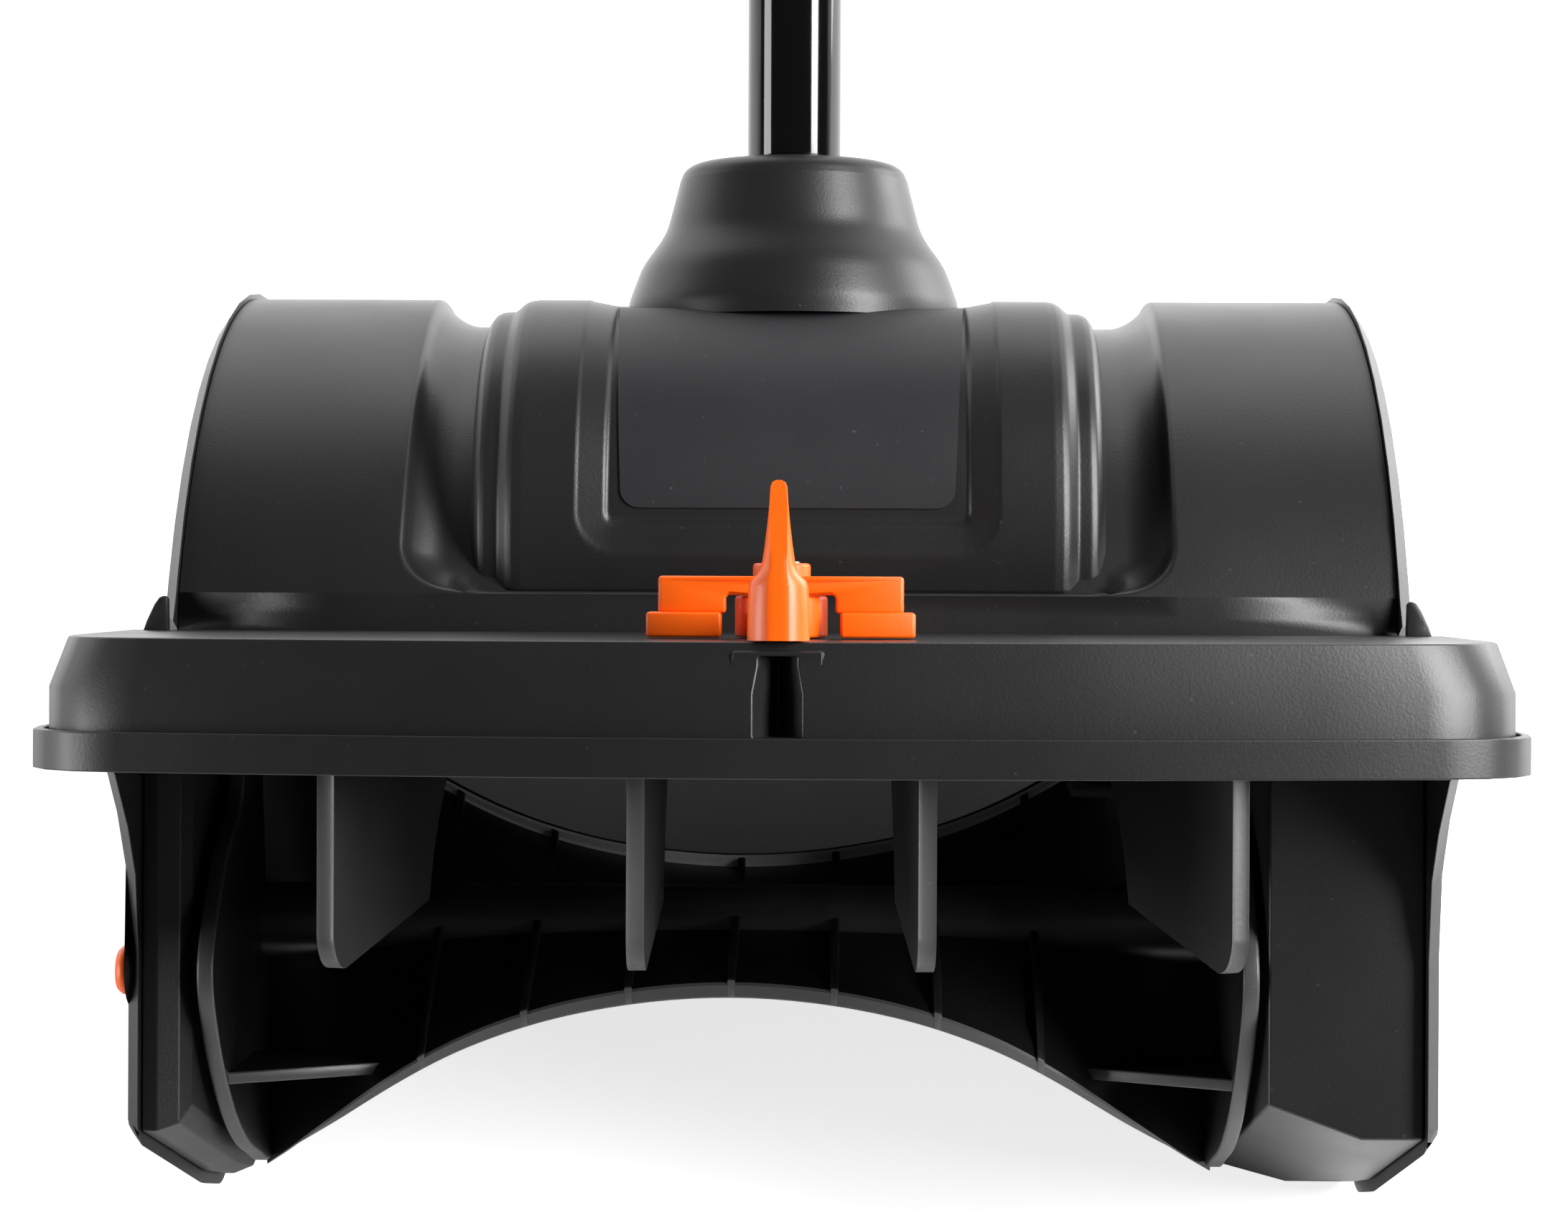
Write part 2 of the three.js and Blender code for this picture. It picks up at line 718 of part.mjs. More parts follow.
function idlerGear() {
  return moved(gear(idlerTeeth, trainScale, 0, axleRadius - 1 + fit, trainAngle), 0, idlerY, idlerZ);
}

function rotorGear() {
  const phase = trainAngle + Math.PI / rotorGearTeeth;
  const ring = gear(rotorGearTeeth, trainScale, 0, axleRadius + fit, phase);
  const windows = [0, 1, 2, 3, 4].map((i) => {
    const angle = (i * 2 * Math.PI) / 5;
    const at = pitchRadius(rotorGearTeeth) * 0.56;
    return rodX(11, gearX - overrun, gearX + gearWidth + overrun, at * Math.cos(angle), at * Math.sin(angle), 14);
  });
  return cut(ring, ...windows);
}

function motorCan() {
  const can = rodX(motorRadius, motorLeftX, motorRightX, motorY, motorZ, 28);
  const nose = rodX(motorRadius * 0.36, motorRightX - 1, motorRightX + 3, motorY, motorZ);
  const tail = rodX(motorRadius * 0.36, motorLeftX - 3, motorLeftX + 1, motorY, motorZ);
  const bore = rodX(motorShaftRadius + fit, motorLeftX - 1, motorRightX + 4, motorY, motorZ);
  const slots = [0, 1, 2, 3].map((i) => {
    const angle = Math.PI / 4 + (i * Math.PI) / 2;
    const [y, z] = [motorY + motorRadius * Math.cos(angle), motorZ + motorRadius * Math.sin(angle)];
    return box(motorLeftX + 10, motorLeftX + 26, y - 4, y + 4, z - 4, z + 4);
  });
  const room = rodX(motorRadius - motorWall, motorLeftX + motorWall, motorRightX - motorWall, motorY, motorZ, 28);
  return cut(join(can, nose, tail), bore, room, ...slots);
}

function motorShaft() {
  const armature = rodX(armatureRadius, motorLeftX + armatureInset, motorRightX - armatureInset, motorY, motorZ, 24);
  return join(rodX(motorShaftRadius, motorLeftX, gearX + gearWidth + 2, motorY, motorZ, 16), armature);
}

function motorMount() {
  const from = motorRightX + 3.3;
  const inside = shellLoft(shellWall + fit, -shellHalf, shellHalf);
  const plate = rodX(motorRadius + 22, from, from + mountThick, motorY, motorZ, 32).intersect(inside);
  return cut(plate, rodX(motorShaftRadius + 1, from - overrun, from + mountThick + overrun, motorY, motorZ));
}

// Motor cover

// The barrel's outline from its front foot over the top, drawn in by an inset.
function coverProfile(inset) {
  const radius = coverRadius - inset;
  const footZ = coverFootZ + Math.max(0, inset);
  const startDeg = 180 + THREE.MathUtils.radToDeg(Math.asin((coverCentreZ - footZ) / radius));
  return [
    ...arc(coverCentreY, coverCentreZ, radius, startDeg, 90, 14),
    point(shellCentreY, coverCentreZ + radius), point(shellCentreY, footZ),
  ];
}

// A panel in X and Z with rounded lower corners, cut through the barrel's front.
function frontPanel(topHalf, footHalf, footZ, topZ, corner) {
  const outline = [
    point(-topHalf, topZ), ...arc(-footHalf + corner, footZ + corner, corner, 180, 270, 4),
    ...arc(footHalf - corner, footZ + corner, corner, 270, 360, 4), point(topHalf, topZ),
  ];
  const geometry = new THREE.ExtrudeGeometry(new THREE.Shape(outline), { depth: coverRadius * 2, bevelEnabled: false });
  geometry.rotateX(Math.PI / 2);
  geometry.translate(0, coverCentreY, 0);
  return solid(geometry);
}

// The skin between two insets of the barrel.
function coverSkin(fromInset, toInset, half) {
  return cut(acrossX(coverProfile(fromInset), -half, half), acrossX(coverProfile(toInset), -half * 2, half * 2));
}

function motorCover() {
  const step = coverHalf + coverStep;
  const boss = rodZ(neckBaseRadius + 1, coverTopZ - neckBaseRadius, coverTopZ, 0, shaftY, 32);
  const bossHollow = rodZ(neckBaseRadius - coverWall, coverTopZ - neckBaseRadius * 2, coverTopZ - coverWall, 0,
    shaftY, 32);
  const bossFront = box(-step, step, -coverRadius, coverCentreY, coverFootZ, coverTopZ * 2);
  const outer = join(
    acrossX(coverProfile(0), -coverHalf, coverHalf),
    acrossX(coverProfile(coverStepDrop), -step, step),
    cut(boss, bossFront),
  );
  const inner = join(acrossX(coverProfile(coverStepDrop + coverWall), -step + coverWall, step - coverWall),
    cut(bossHollow, bossFront));
  const recess = coverSkin(-overrun, recessDepth, recessHalf)
    .intersect(frontPanel(recessHalf, recessHalf, recessZ, labelTopZ + 1, recessCorner));
  const shaftHole = rodZ(shaftRadius + fit, 0, coverTopZ * 2, 0, shaftY, 24);
  const below = box(-step * 2, step * 2, -coverRadius * 2, shellCentreY * 2, -coverFootZ, coverFootZ);
  return largest(cut(outer, inner, recess, shellOuter(fit), shaftHole, below));
}

// The largest of the separate lumps of a solid.
function largest(body) {
  const lumps = body.decompose();
  lumps.sort((a, b) => b.volume() - a.volume());
  return lumps[0];
}

function labelPanel() {
  return largest(coverSkin(recessDepth - fit - labelThick, recessDepth - fit, recessHalf)
    .intersect(frontPanel(labelTopHalf, labelFootHalf, labelZ, labelTopZ, labelCorner)));
}

// Hood tray

function trayOutline(half, frontY, backY) {
  const bowAt = (x) => frontY + trayBow * (x / half) ** 2;
  const reach = half - trayCorner;
  const shape = new THREE.Shape();
  shape.moveTo(-half, backY);
  shape.lineTo(-half, bowAt(half) + trayCorner);
  shape.quadraticCurveTo(-half, bowAt(half), -reach, bowAt(reach));
  for (let i = 1; i <= 12; i += 1) {
    const x = -reach + (2 * reach * i) / 12;
    shape.lineTo(x, bowAt(x));
  }
  shape.quadraticCurveTo(half, bowAt(half), half, bowAt(half) + trayCorner);
  shape.lineTo(half, backY);
  return shape.getPoints(4);
}

function trayLoft(layers) {
  return loft(layers.map(([z, half, frontY, backY]) => trayOutline(half, frontY, backY)
    .map((place) => new THREE.Vector3(place.x, place.y, z))), ['x', 'y']);
}

function hoodTray() {
  const back = shellFrontY - fit;
  const skirtHalf = trayHalf + trayFlare;
  const skirtFront = trayFrontY - trayFlare;
  const lipHalf = skirtHalf + trayLip;
  const lipFront = skirtFront - trayLip;
  const body = join(
    trayLoft([
      [traySkirtZ - 1, skirtHalf, skirtFront, back],
      [trayBrowZ, skirtHalf, skirtFront, back],
      [trayTopZ, trayHalf, trayFrontY, back],
    ]),
    trayLoft([[trayLipZ, lipHalf, lipFront, back], [traySkirtZ, lipHalf, lipFront, back]]),
  );
  const innerTop = trayTopZ - trayWall;
  const hollow = trayLoft([
    [trayLipZ - overrun, skirtHalf - trayWall, skirtFront + trayWall, back + overrun],
    [trayBrowZ, skirtHalf - trayWall, skirtFront + trayWall, back + overrun],
    [innerTop, trayHalf - trayWall, trayFrontY + trayWall, back + overrun],
  ]);
  const gutter = cut(
    trayLoft([[traySkirtZ - gutterDepth, lipHalf - lipWall, lipFront + lipWall, back],
      [traySkirtZ + overrun, lipHalf - lipWall, lipFront + lipWall, back]]),
    trayLoft([[traySkirtZ - gutterDepth - overrun, skirtHalf, skirtFront, back + overrun],
      [traySkirtZ + 2 * overrun, skirtHalf, skirtFront, back + overrun]]),
    box(-lipHalf * 2, lipHalf * 2, back - lipWall, back + overrun, trayLipZ, trayTopZ),
  );
  const grooveBoss = box(-grooveHalf - 3, grooveHalf + 3, skirtFront + 2, trayFrontY + grooveDepth + 4,
    traySkirtZ - 1, innerTop + 1);
  const groove = upZ([
    point(-grooveHalf, skirtFront - overrun), point(grooveHalf, skirtFront - overrun),
    point(0, trayFrontY + grooveDepth),
  ], traySkirtZ, trayTopZ - trayWall);
  const bosses = vanePlaces().map((x) => rodZ(bossRadius, vaneTopZ + crankThick + linkThick + 2, innerTop + 1, x,
    vanePivotY));
  const bores = vanePlaces().map((x) => rodZ(stemRadius + fit, trayLipZ, innerTop, x, vanePivotY));
  const leverBore = rodZ(shankRadius + fit, trayLipZ, trayTopZ + overrun, 0, vanePivotY);
  return cut(join(cut(body, hollow, gutter), grooveBoss, ...bosses), groove, ...bores, leverBore);
}

function vanePlaces() {
  return vaneFanDeg.map((deg, i) => (i - (vaneFanDeg.length - 1) / 2) * vanePitch);
}

const clearRadius = rotorRadius + rotorGap;
const rearReach = (z) => -vanePivotY - Math.sqrt(clearRadius ** 2 - z ** 2);
const crankTopZ = vaneTopZ + crankThick;

function vane(i) {
  const outline = [
    point(-vaneFront + vaneShoulder, vaneTopZ), point(-vaneFront, vaneTopZ - vaneShoulder),
    point(-vaneFront, vaneFrontZ), point(-vaneFront + 4.5, vaneTipZ),
  ];
  const rearSteps = 5;
  for (let step = 0; step <= rearSteps; step += 1) {
    const z = vaneRearZ + ((vaneTopZ - vaneRearZ) * step) / rearSteps;
    outline.push(point(rearReach(z), z));
  }
  const plate = acrossX(outline, -vaneThick / 2, vaneThick / 2).rotate([0, 0, vaneFanDeg[i]]);
  const stem = rodZ(stemRadius, vaneTopZ - 1, trayTopZ - trayWall - fit, 0, 0);
  const arm = roundedBox(-stemRadius - 1, stemRadius + 1, -stemRadius - 1, crankReach + 4, vaneTopZ - 0.5, crankTopZ,
    stemRadius);
  const peg = rodZ(pegRadius, vaneTopZ, crankTopZ + linkThick + 1.5, 0, crankReach, 12);
  return moved(join(plate, stem, arm, peg), vanePlaces()[i], vanePivotY, 0);
}

const linkY = vanePivotY + crankReach;
const linkZ = crankTopZ + fit;

function linkBar() {
  const half = vanePitch * 1.5 + 8;
  const bar = roundedBox(-half, half, linkY - linkWidth / 2 + 1.5, linkY + linkWidth / 2 + 1, linkZ,
    linkZ + linkThick, 4);
  const slots = [...vanePlaces(), 0].map((x) => box(x - slotHalf, x + slotHalf, linkY - slotLength / 2,
    linkY + slotLength / 2 - 1.5, linkZ - overrun, linkZ + linkThick + overrun));
  return cut(bar, ...slots);
}

const leverCrankZ = linkZ + linkThick + fit;
const leverCrankThick = 2.4;

function leverCrank() {
  const from = leverCrankZ;
  const hub = roundedBox(-stemRadius - 2, stemRadius + 2, -stemRadius - 2, crankReach + 4, from,
    from + leverCrankThick, 4);
  const peg = rodZ(pegRadius, linkZ + 0.2, from + 1, 0, crankReach, 12);
  const bore = rodZ(shankRadius + fit, from - overrun, from + leverCrankThick + overrun, 0, 0);
  return moved(cut(join(hub, peg), bore), 0, vanePivotY, 0);
}

function steeringLever() {
  const base = trayTopZ + fit;
  const drum = rodZ(leverDrumRadius, base, base + leverDrumHeight, 0, 0, 24);
  const boss = rodZ(leverBossRadius, base, base + leverBossHeight, 0, 3, 20);
  const shank = rodZ(shankRadius, leverCrankZ, base + 1, 0, 0);
  const wingPlan = [
    point(0, -leverDrumRadius + 1), point(wingReach, -leverDrumRadius + wingSweep),
    point(wingReach, -leverDrumRadius + wingSweep + wingThick), point(0, -leverDrumRadius + 1 + wingThick * 1.6),
    point(-wingReach, -leverDrumRadius + wingSweep + wingThick), point(-wingReach, -leverDrumRadius + wingSweep),
  ];
  const wings = upZ(wingPlan, wingLowZ - 0.5, wingHighZ);
  const feet = [-1, 1].map((side) => {
    const inner = side * wingFootInner;
    const outer = side * wingReach;
    const depth = wingFootDepth;
    const near = -leverDrumRadius + wingSweep - 2;
    return box(Math.min(inner, outer), Math.max(inner, outer), near, near + depth, base, wingLowZ + 0.5);
  });
  const tabY = trayFrontY - vanePivotY;
  const arm = box(-tabBaseHalf + 1, tabBaseHalf - 1, tabY + 1, -leverDrumRadius + 4, base, base + 7);
  const tabShares = [[0, 1, 1], [0.2, 0.82, 0.9], [0.42, 0.48, 0.72], [0.8, 0.32, 0.56], [1, 0.25, 0.42]];
  const tab = loft(tabShares.map(([rise, width, depth]) => {
    const z = base + rise * tabHeight;
    const half = tabBaseHalf * width;
    const back = tabY + tabDepth * depth;
    const ridge = tabY - tabRidge * depth;
    return [
      new THREE.Vector3(-half, back, z), new THREE.Vector3(-half, tabY, z), new THREE.Vector3(0, ridge, z),
      new THREE.Vector3(half, tabY, z), new THREE.Vector3(half, back, z),
    ];
  }), ['x', 'y']);
  const screwSeat = rodZ(screwRadius + fit, base + leverBossHeight - screwHead, base + leverBossHeight + overrun, 0,
    3, 16);
  return moved(cut(join(drum, boss, shank, wings, ...feet, arm, tab), screwSeat), 0, vanePivotY, 0);
}

function leverScrew() {
  const top = trayTopZ + fit + leverBossHeight;
  return rodZ(screwRadius, top - screwHead + fit, top + 0.6, 0, vanePivotY + 3, 16);
}

// Neck and shaft

function neckBoot() {
  const low = coverTopZ + fit;
  const rise = neckTopZ - low;
  const shares = [[1, 0], [0.985, 0.06], [0.915, 0.27], [0.81, 0.43], [0.765, 0.52], [0.69, 0.85], [0.665, 0.92],
    [0.6, 0.965]];
  const outer = shares.map(([wide, high]) => point(wide * neckBaseRadius, low + high * rise));
  const bore = shaftRadius + fit;
  const profile = [point(bore, low), ...outer, point(bore, neckTopZ), point(bore, low)];
  return moved(turned(profile, 32), 0, shaftY, 0);
}

function tube(fromZ, toZ, radius, wall) {
  return cut(rodZ(radius, fromZ, toZ, 0, shaftY, 24), rodZ(radius - wall, fromZ - overrun, toZ + overrun, 0, shaftY,
    24));
}

function shaftCoupler() {
  const low = lowerShaftTop - couplerLength / 2;
  const high = lowerShaftTop + couplerLength / 2;
  const bore = shaftRadius + fit;
  const outer = bore + couplerWall;
  const profile = [
    point(bore, low), point(outer - 2, low), point(outer, low + 6), point(outer, low + couplerLength * 0.4),
    point(outer + 5, low + couplerLength * 0.46), point(outer + 5, high - 8), point(outer + 2, high),
    point(bore, high), point(bore, low),
  ];
  return moved(turned(profile, 24), 0, shaftY, 0);
}

function powerLead() {
  const y = shaftY + shaftRadius - shaftWall - leadRadius - fit;
  return rodZ(leadRadius, lowerShaftBottom + 6, upperShaftTop - 6, 0, y, 12);
}

// Front handle

const boltY = shaftY - boltDrop;

function frontClamp() {
  const low = frontHandleZ - clampLength / 2;
  const high = frontHandleZ + clampLength / 2;
  const block = join(
    rodZ(clampHalf, low, high, 0, shaftY, 24),
    roundedBox(-clampWidth / 2, clampWidth / 2, boltY - eyeRadius, shaftY, low + 6, high - 6, 4),
  );
  return cut(block, rodZ(shaftRadius + fit, low - overrun, high + overrun, 0, shaftY, 24),
    rodX(boltRadius + fit, -clampWidth, clampWidth, boltY, frontHandleZ, 16));
}

function loopPath() {
  const eye = clampWidth / 2 + fit + eyeThick / 2;
  const top = boltY - loopHeight;
  const [low, bend] = [boltY - eyeRadius * 1.4, loopHalf * 0.5];
  const side = (sign) => [
    new THREE.Vector3(sign * eye, boltY - eyeRadius * 0.5, 0), new THREE.Vector3(sign * eye, low, 0),
    new THREE.Vector3(sign * loopHalf, low - bend * 0.4, 0), new THREE.Vector3(sign * loopHalf, low - bend * 1.3, 0),
    new THREE.Vector3(sign * loopHalf, top + bend, 0), new THREE.Vector3(sign * loopHalf, top, 0),
    new THREE.Vector3(sign * (loopHalf - bend), top, 0),
  ];
  const [left, right] = [side(-1), side(1).reverse()];
  const path = new THREE.CurvePath();
  path.add(new THREE.LineCurve3(left[0], left[1]));
  path.add(new THREE.QuadraticBezierCurve3(left[1], left[2], left[3]));
  path.add(new THREE.LineCurve3(left[3], left[4]));
  path.add(new THREE.QuadraticBezierCurve3(left[4], left[5], left[6]));
  path.add(new THREE.LineCurve3(left[6], right[0]));
  path.add(new THREE.QuadraticBezierCurve3(right[0], right[1], right[2]));
  path.add(new THREE.LineCurve3(right[2], right[3]));
  path.add(new THREE.QuadraticBezierCurve3(right[3], right[4], right[5]));
  path.add(new THREE.LineCurve3(right[5], right[6]));
  return path;
}

function frontHandle() {
  const section = new THREE.Shape(arc(0, 0, gripRadius * 0.8, 0, 324, 9));
  const geometry = new THREE.ExtrudeGeometry(section, { extrudePath: loopPath(), steps: 40, bevelEnabled: false });
  const bar = moved(outward(geometry), 0, 0, frontHandleZ);
  const inner = clampWidth / 2 + fit;
  const outer = inner + eyeThick;
  const eyes = [-1, 1].map((side) => {
    const from = side < 0 ? -outer : inner;
    return rodX(eyeRadius, from, from + eyeThick, boltY, frontHandleZ, 20);
  });
  const keepOut = (fromX, toX, reach) => rodX(reach, fromX, toX, boltY, frontHandleZ, 24);
  const clampReach = eyeRadius * 2.3;
  const knobReach = knobRadius + overrun;
  const bore = rodX(boltRadius + fit, -loopHalf * 2, loopHalf * 2, boltY, frontHandleZ, 16);
  return cut(join(bar, ...eyes), keepOut(-inner, inner, clampReach), keepOut(outer, loopHalf * 2, knobReach),
    keepOut(-loopHalf * 2, -outer, knobReach), bore);
}

function gripSleeve() {
  const bar = gripRadius * 0.8 + fit;
  const half = loopHalf * 0.42;
  const ring = rodX(gripRadius, -half, half, boltY - loopHeight, frontHandleZ, 18);
  return cut(ring, rodX(bar / Math.cos(Math.PI / 9), -half - overrun, half + overrun, boltY - loopHeight,
    frontHandleZ, 18));
}

const boltHalf = clampWidth / 2 + fit + eyeThick;

function frontBolt() {
  const shank = rodX(boltRadius, -boltHalf - fit, boltHalf + fit + knobThick * 0.6, boltY, frontHandleZ, 16);
  const head = rodX(boltRadius + 4, -boltHalf - fit - 6, -boltHalf - fit, boltY, frontHandleZ, 6);
  return join(shank, head);
}

function frontKnob() {
  const from = boltHalf + 2 * fit;
  const places = [];
  for (let i = 0; i < 36; i += 1) {
    const angle = (i * Math.PI) / 18;
    const radius = knobRadius * (0.92 + 0.08 * Math.cos(angle * 6));
    places.push(point(radius * Math.cos(angle), radius * Math.sin(angle)));
  }
  const body = moved(acrossX(places, from, from + knobThick, 2), 0, boltY, frontHandleZ);
  return cut(body, rodX(boltRadius + fit, from - overrun, from + knobThick * 0.7, boltY, frontHandleZ, 16));
}

// Rear handle

function handleOutline(inset) {
  const guardY = gripBackY + fingerGap + guardThick;
  const r = handleRound;
  return [
    point(shaftY - shaftRadius - 6 + inset, rearLowZ + inset), point(shaftY + shaftRadius + 6 - inset, rearLowZ + inset),
    point(shaftY + shaftRadius + 9 - inset, rearLowZ + 30), point(guardY - r * 2 - inset, gapLowZ - 26 + inset),
    point(guardY - inset, gapLowZ - 4), point(guardY - inset, gapHighZ + 4), point(guardY - r - inset, rearHighZ - r),
    point(guardY - r * 2 - inset, rearHighZ - inset), point(gripFrontY - 10 + inset, rearHighZ - inset),
    point(gripFrontY - 14 + inset, rearHighZ - r), point(gripFrontY - 6 + inset, gapHighZ),
    point(gripFrontY + inset, gapLowZ + 40), point(gripFrontY + 1 + inset, gapLowZ - 20),
  ];
}

function fingerOutline(grow) {
  const r = handleRound;
  return [
    ...arc(gripBackY + r, gapLowZ + r, r + grow, 180, 270, 3),
    ...arc(gripBackY + fingerGap - r, gapLowZ + r, r + grow, 270, 360, 3),
    ...arc(gripBackY + fingerGap - r, gapHighZ - r, r + grow, 0, 90, 3),
    ...arc(gripBackY + r, gapHighZ - r, r + grow, 90, 180, 3),
  ];
}

const triggerHighZ = triggerLowZ + triggerLength;
const triggerBackY = gripBackY - 12;

function handleHalfShell(side) {
  const from = side < 0 ? -handleHalf : fit / 2;
  const to = side < 0 ? -fit / 2 : handleHalf;
  const around = acrossX(handleOutline(0), side < 0 ? -handleHalf : -handleHalf - 6,
    side < 0 ? handleHalf + 6 : handleHalf, 5);
  const slab = box(from, to, -rearLowZ, rearLowZ, rearLowZ - 10, rearHighZ + 10);
  const outer = cut(around.intersect(slab), acrossX(fingerOutline(0), -handleHalf - overrun, handleHalf + overrun));
  const hollowFrom = side < 0 ? -handleHalf + handleWall : -overrun;
  const hollowTo = side < 0 ? overrun : handleHalf - handleWall;
  const hollow = cut(acrossX(handleOutline(handleWall), hollowFrom, hollowTo),
    acrossX(fingerOutline(handleWall), -handleHalf, handleHalf),
    box(-handleHalf, handleHalf, -rearLowZ, rearLowZ, rearLowZ, rearLowZ + 26));
  const shaftHole = rodZ(shaftRadius + fit, rearLowZ - overrun, upperShaftTop + fit, 0, shaftY, 24);
  const slot = box(-triggerHalf - fit, triggerHalf + fit, gripBackY - 14, gripBackY + overrun, triggerLowZ - fit,
    triggerHighZ + 2);
  const button = rodX(buttonRadius + fit, -handleHalf * 2, handleHalf * 2, shaftY - 6, buttonZ, 20);
  const railSlot = box(-railStemHalf - fit, railStemHalf + fit, packFrontY, packFrontY + packLength * 2,
    rearHighZ - handleWall - 1, rearHighZ + overrun);
  return cut(outer, hollow, shaftHole, slot, button, railSlot);
}

// The rail that carries the pack, held between the two handle halves.
function batteryRail() {
  const from = gripFrontY - 6;
  const to = gripBackY + fingerGap - 6;
  const base = rearHighZ - handleWall - 1 + fit;
  const stemTop = rearHighZ + railStem;
  return join(
    box(-railStemHalf, railStemHalf, from, to, base, stemTop + 1),
    box(-railHeadHalf, railHeadHalf, from, to, stemTop, stemTop + railHead),
  );
}

function trigger() {
  const outline = [
    point(triggerBackY, triggerHighZ - 8), point(triggerBackY, triggerLowZ + 12),
    point(gripBackY - 4, triggerLowZ + 2), point(gripBackY + triggerDepth * 0.55, triggerLowZ + 4),
    point(gripBackY + triggerDepth, triggerLowZ + 12), point(gripBackY + triggerDepth * 0.72, triggerLowZ + 26),
    point(gripBackY + triggerDepth * 0.4, triggerHighZ - 6), point(gripBackY, triggerHighZ),
    point(gripBackY - 8, triggerHighZ),
  ];
  const pinY = gripBackY - 6;
  const pinZ = triggerHighZ - 6;
  return cut(acrossX(outline, -triggerHalf, triggerHalf),
    rodX(triggerPinRadius + fit, -triggerHalf - overrun, triggerHalf + overrun, pinY, pinZ, 12));
}

function triggerPin() {
  const reach = handleHalf - handleWall - fit;
  return rodX(triggerPinRadius, -reach, reach, gripBackY - 6, triggerHighZ - 6, 12);
}

function lockButton() {
  const body = rodX(buttonRadius, -handleHalf - buttonTravel, handleHalf - 1, shaftY - 6, buttonZ, 20);
  return body;
}

function switchBlock() {
  const half = handleHalf - handleWall - fit;
  return box(-half, half, gripFrontY + handleWall + 4, triggerBackY - triggerSwing, triggerLowZ - 8,
    triggerLowZ + 18);
}

// Battery pack

const packLowZ = rearHighZ + fit;

function batteryPack() {
  const body = roundedBox(-packHalf, packHalf, packFrontY, packFrontY + packLength, packLowZ, packLowZ + packHeight,
    packRound);
  const railFrom = gripFrontY - 6 - railGap;
  const slotTo = packFrontY + packLength + overrun;
  const stem = box(-railStemHalf - railGap, railStemHalf + railGap, railFrom, slotTo, packLowZ - overrun,
    rearHighZ + railStem + railHead + railGap);
  const head = box(-railHeadHalf - railGap, railHeadHalf + railGap, railFrom, slotTo,
    rearHighZ + railStem - railGap, rearHighZ + railStem + railHead + railGap);
  const latchSeat = box(-latchHalf - fit, latchHalf + fit, packFrontY - overrun, packFrontY + latchDepth + 4,
    packLowZ + packHeight * 0.45, packLowZ + packHeight * 0.45 + latchHeight + 2 * fit);
  const band = cut(
    box(-packHalf - overrun, packHalf + overrun, packFrontY - overrun, packFrontY + packLength + overrun,
      packLowZ + packHeight * 0.3, packLowZ + packHeight * 0.34),
    roundedBox(-packHalf + 1.2, packHalf - 1.2, packFrontY + 1.2, packFrontY + packLength - 1.2,
      packLowZ, packLowZ + packHeight, packRound),
  );
  return cut(body, stem, head, latchSeat, band);
}

function batteryLatch() {
  const low = packLowZ + packHeight * 0.45 + fit;
  return box(-latchHalf, latchHalf, packFrontY - 1.5, packFrontY + latchDepth, low, low + latchHeight);
}

// Fasteners and caps

function sidePlug() {
  const profile = [
    point(0, 0), point(plugRadius, 0), point(plugRadius, plugHeight * 0.4), point(plugRadius * 0.8, plugHeight * 0.85),
    point(0, plugHeight),
  ];
  const dome = turned(profile, 24).rotate([0, -90, 0]).translate([-plateOuterX - fit, plugY, plugZ]);
  return join(dome, rodX(plugStem, -plateOuterX - fit - 1, -plateInnerX - fit, plugY, plugZ, 16));
}

function axle() {
  return rodX(axleRadius, -plateInnerX + 2, plateInnerX - 4, 0, 0);
}

function screwPlaces() {
  return [point(-58, 22), point(40, 128), point(150, 108), onFloor(40, 14), onFloor(150, 16)];
}

function sideScrew(side, place) {
  const from = side < 0 ? -plateOuterX - fit - screwHead : plateOuterX + fit;
  return rodX(screwRadius, from, from + screwHead, place.x, place.y, 14);
}

// Assembly

add('scoop_shell', scoopShell(), shellPlastic);
add('left_side_plate', sidePlate(-1), shellPlastic);
add('right_side_plate', sidePlate(1), shellPlastic);
add('left_bearing_pod', leftPod(), shellPlastic);
add('gearcase', gearcase(), shellPlastic);
add('scraper_bar', scraperBar(), darkPlastic);
add('rotor', rotor(), darkPlastic);
add('rotor_axle', axle(), steel);
add('bearing_left', bearing(-leftPodX - 8), steel);
add('bearing_right', bearing(gearcaseX + fit), steel);
add('side_plug', sidePlug(), orangePlastic);
add('drive_pinion', drivePinion(), steel);
add('idler_gear', idlerGear(), steel);
add('rotor_gear', rotorGear(), steel);
add('idler_pin', rodX(axleRadius - 1, gearcaseX + caseWeb + fit, plateInnerX - fit, idlerY, idlerZ, 16), steel);
add('motor_can', motorCan(), steel);
add('motor_shaft', motorShaft(), steel);
add('motor_mount', motorMount(), steel);
add('motor_cover', motorCover(), shellPlastic);
add('label_panel', labelPanel(), labelFilm);
add('hood_tray', hoodTray(), shellPlastic);
for (let i = 0; i < vaneFanDeg.length; i += 1) {
  add(`vane_${i + 1}`, vane(i), darkPlastic);
}
add('link_bar', linkBar(), steel);
add('lever_crank', leverCrank(), steel);
add('steering_lever', steeringLever(), orangePlastic);
add('lever_screw', leverScrew(), steel);
add('neck_boot', neckBoot(), shellPlastic);
add('lower_shaft', tube(lowerShaftBottom, lowerShaftTop - fit / 2, shaftRadius, shaftWall), blackPaint);
add('upper_shaft', tube(lowerShaftTop + fit / 2, upperShaftTop, shaftRadius, shaftWall), blackPaint);
add('shaft_coupler', shaftCoupler(), darkPlastic);
add('power_lead', powerLead(), copper);
add('front_clamp', frontClamp(), darkPlastic);
add('front_handle', frontHandle(), darkPlastic);
add('front_grip', gripSleeve(), gripRubber);
add('front_bolt', frontBolt(), steel);
add('front_knob', frontKnob(), orangePlastic);
add('handle_left', handleHalfShell(-1), shellPlastic);
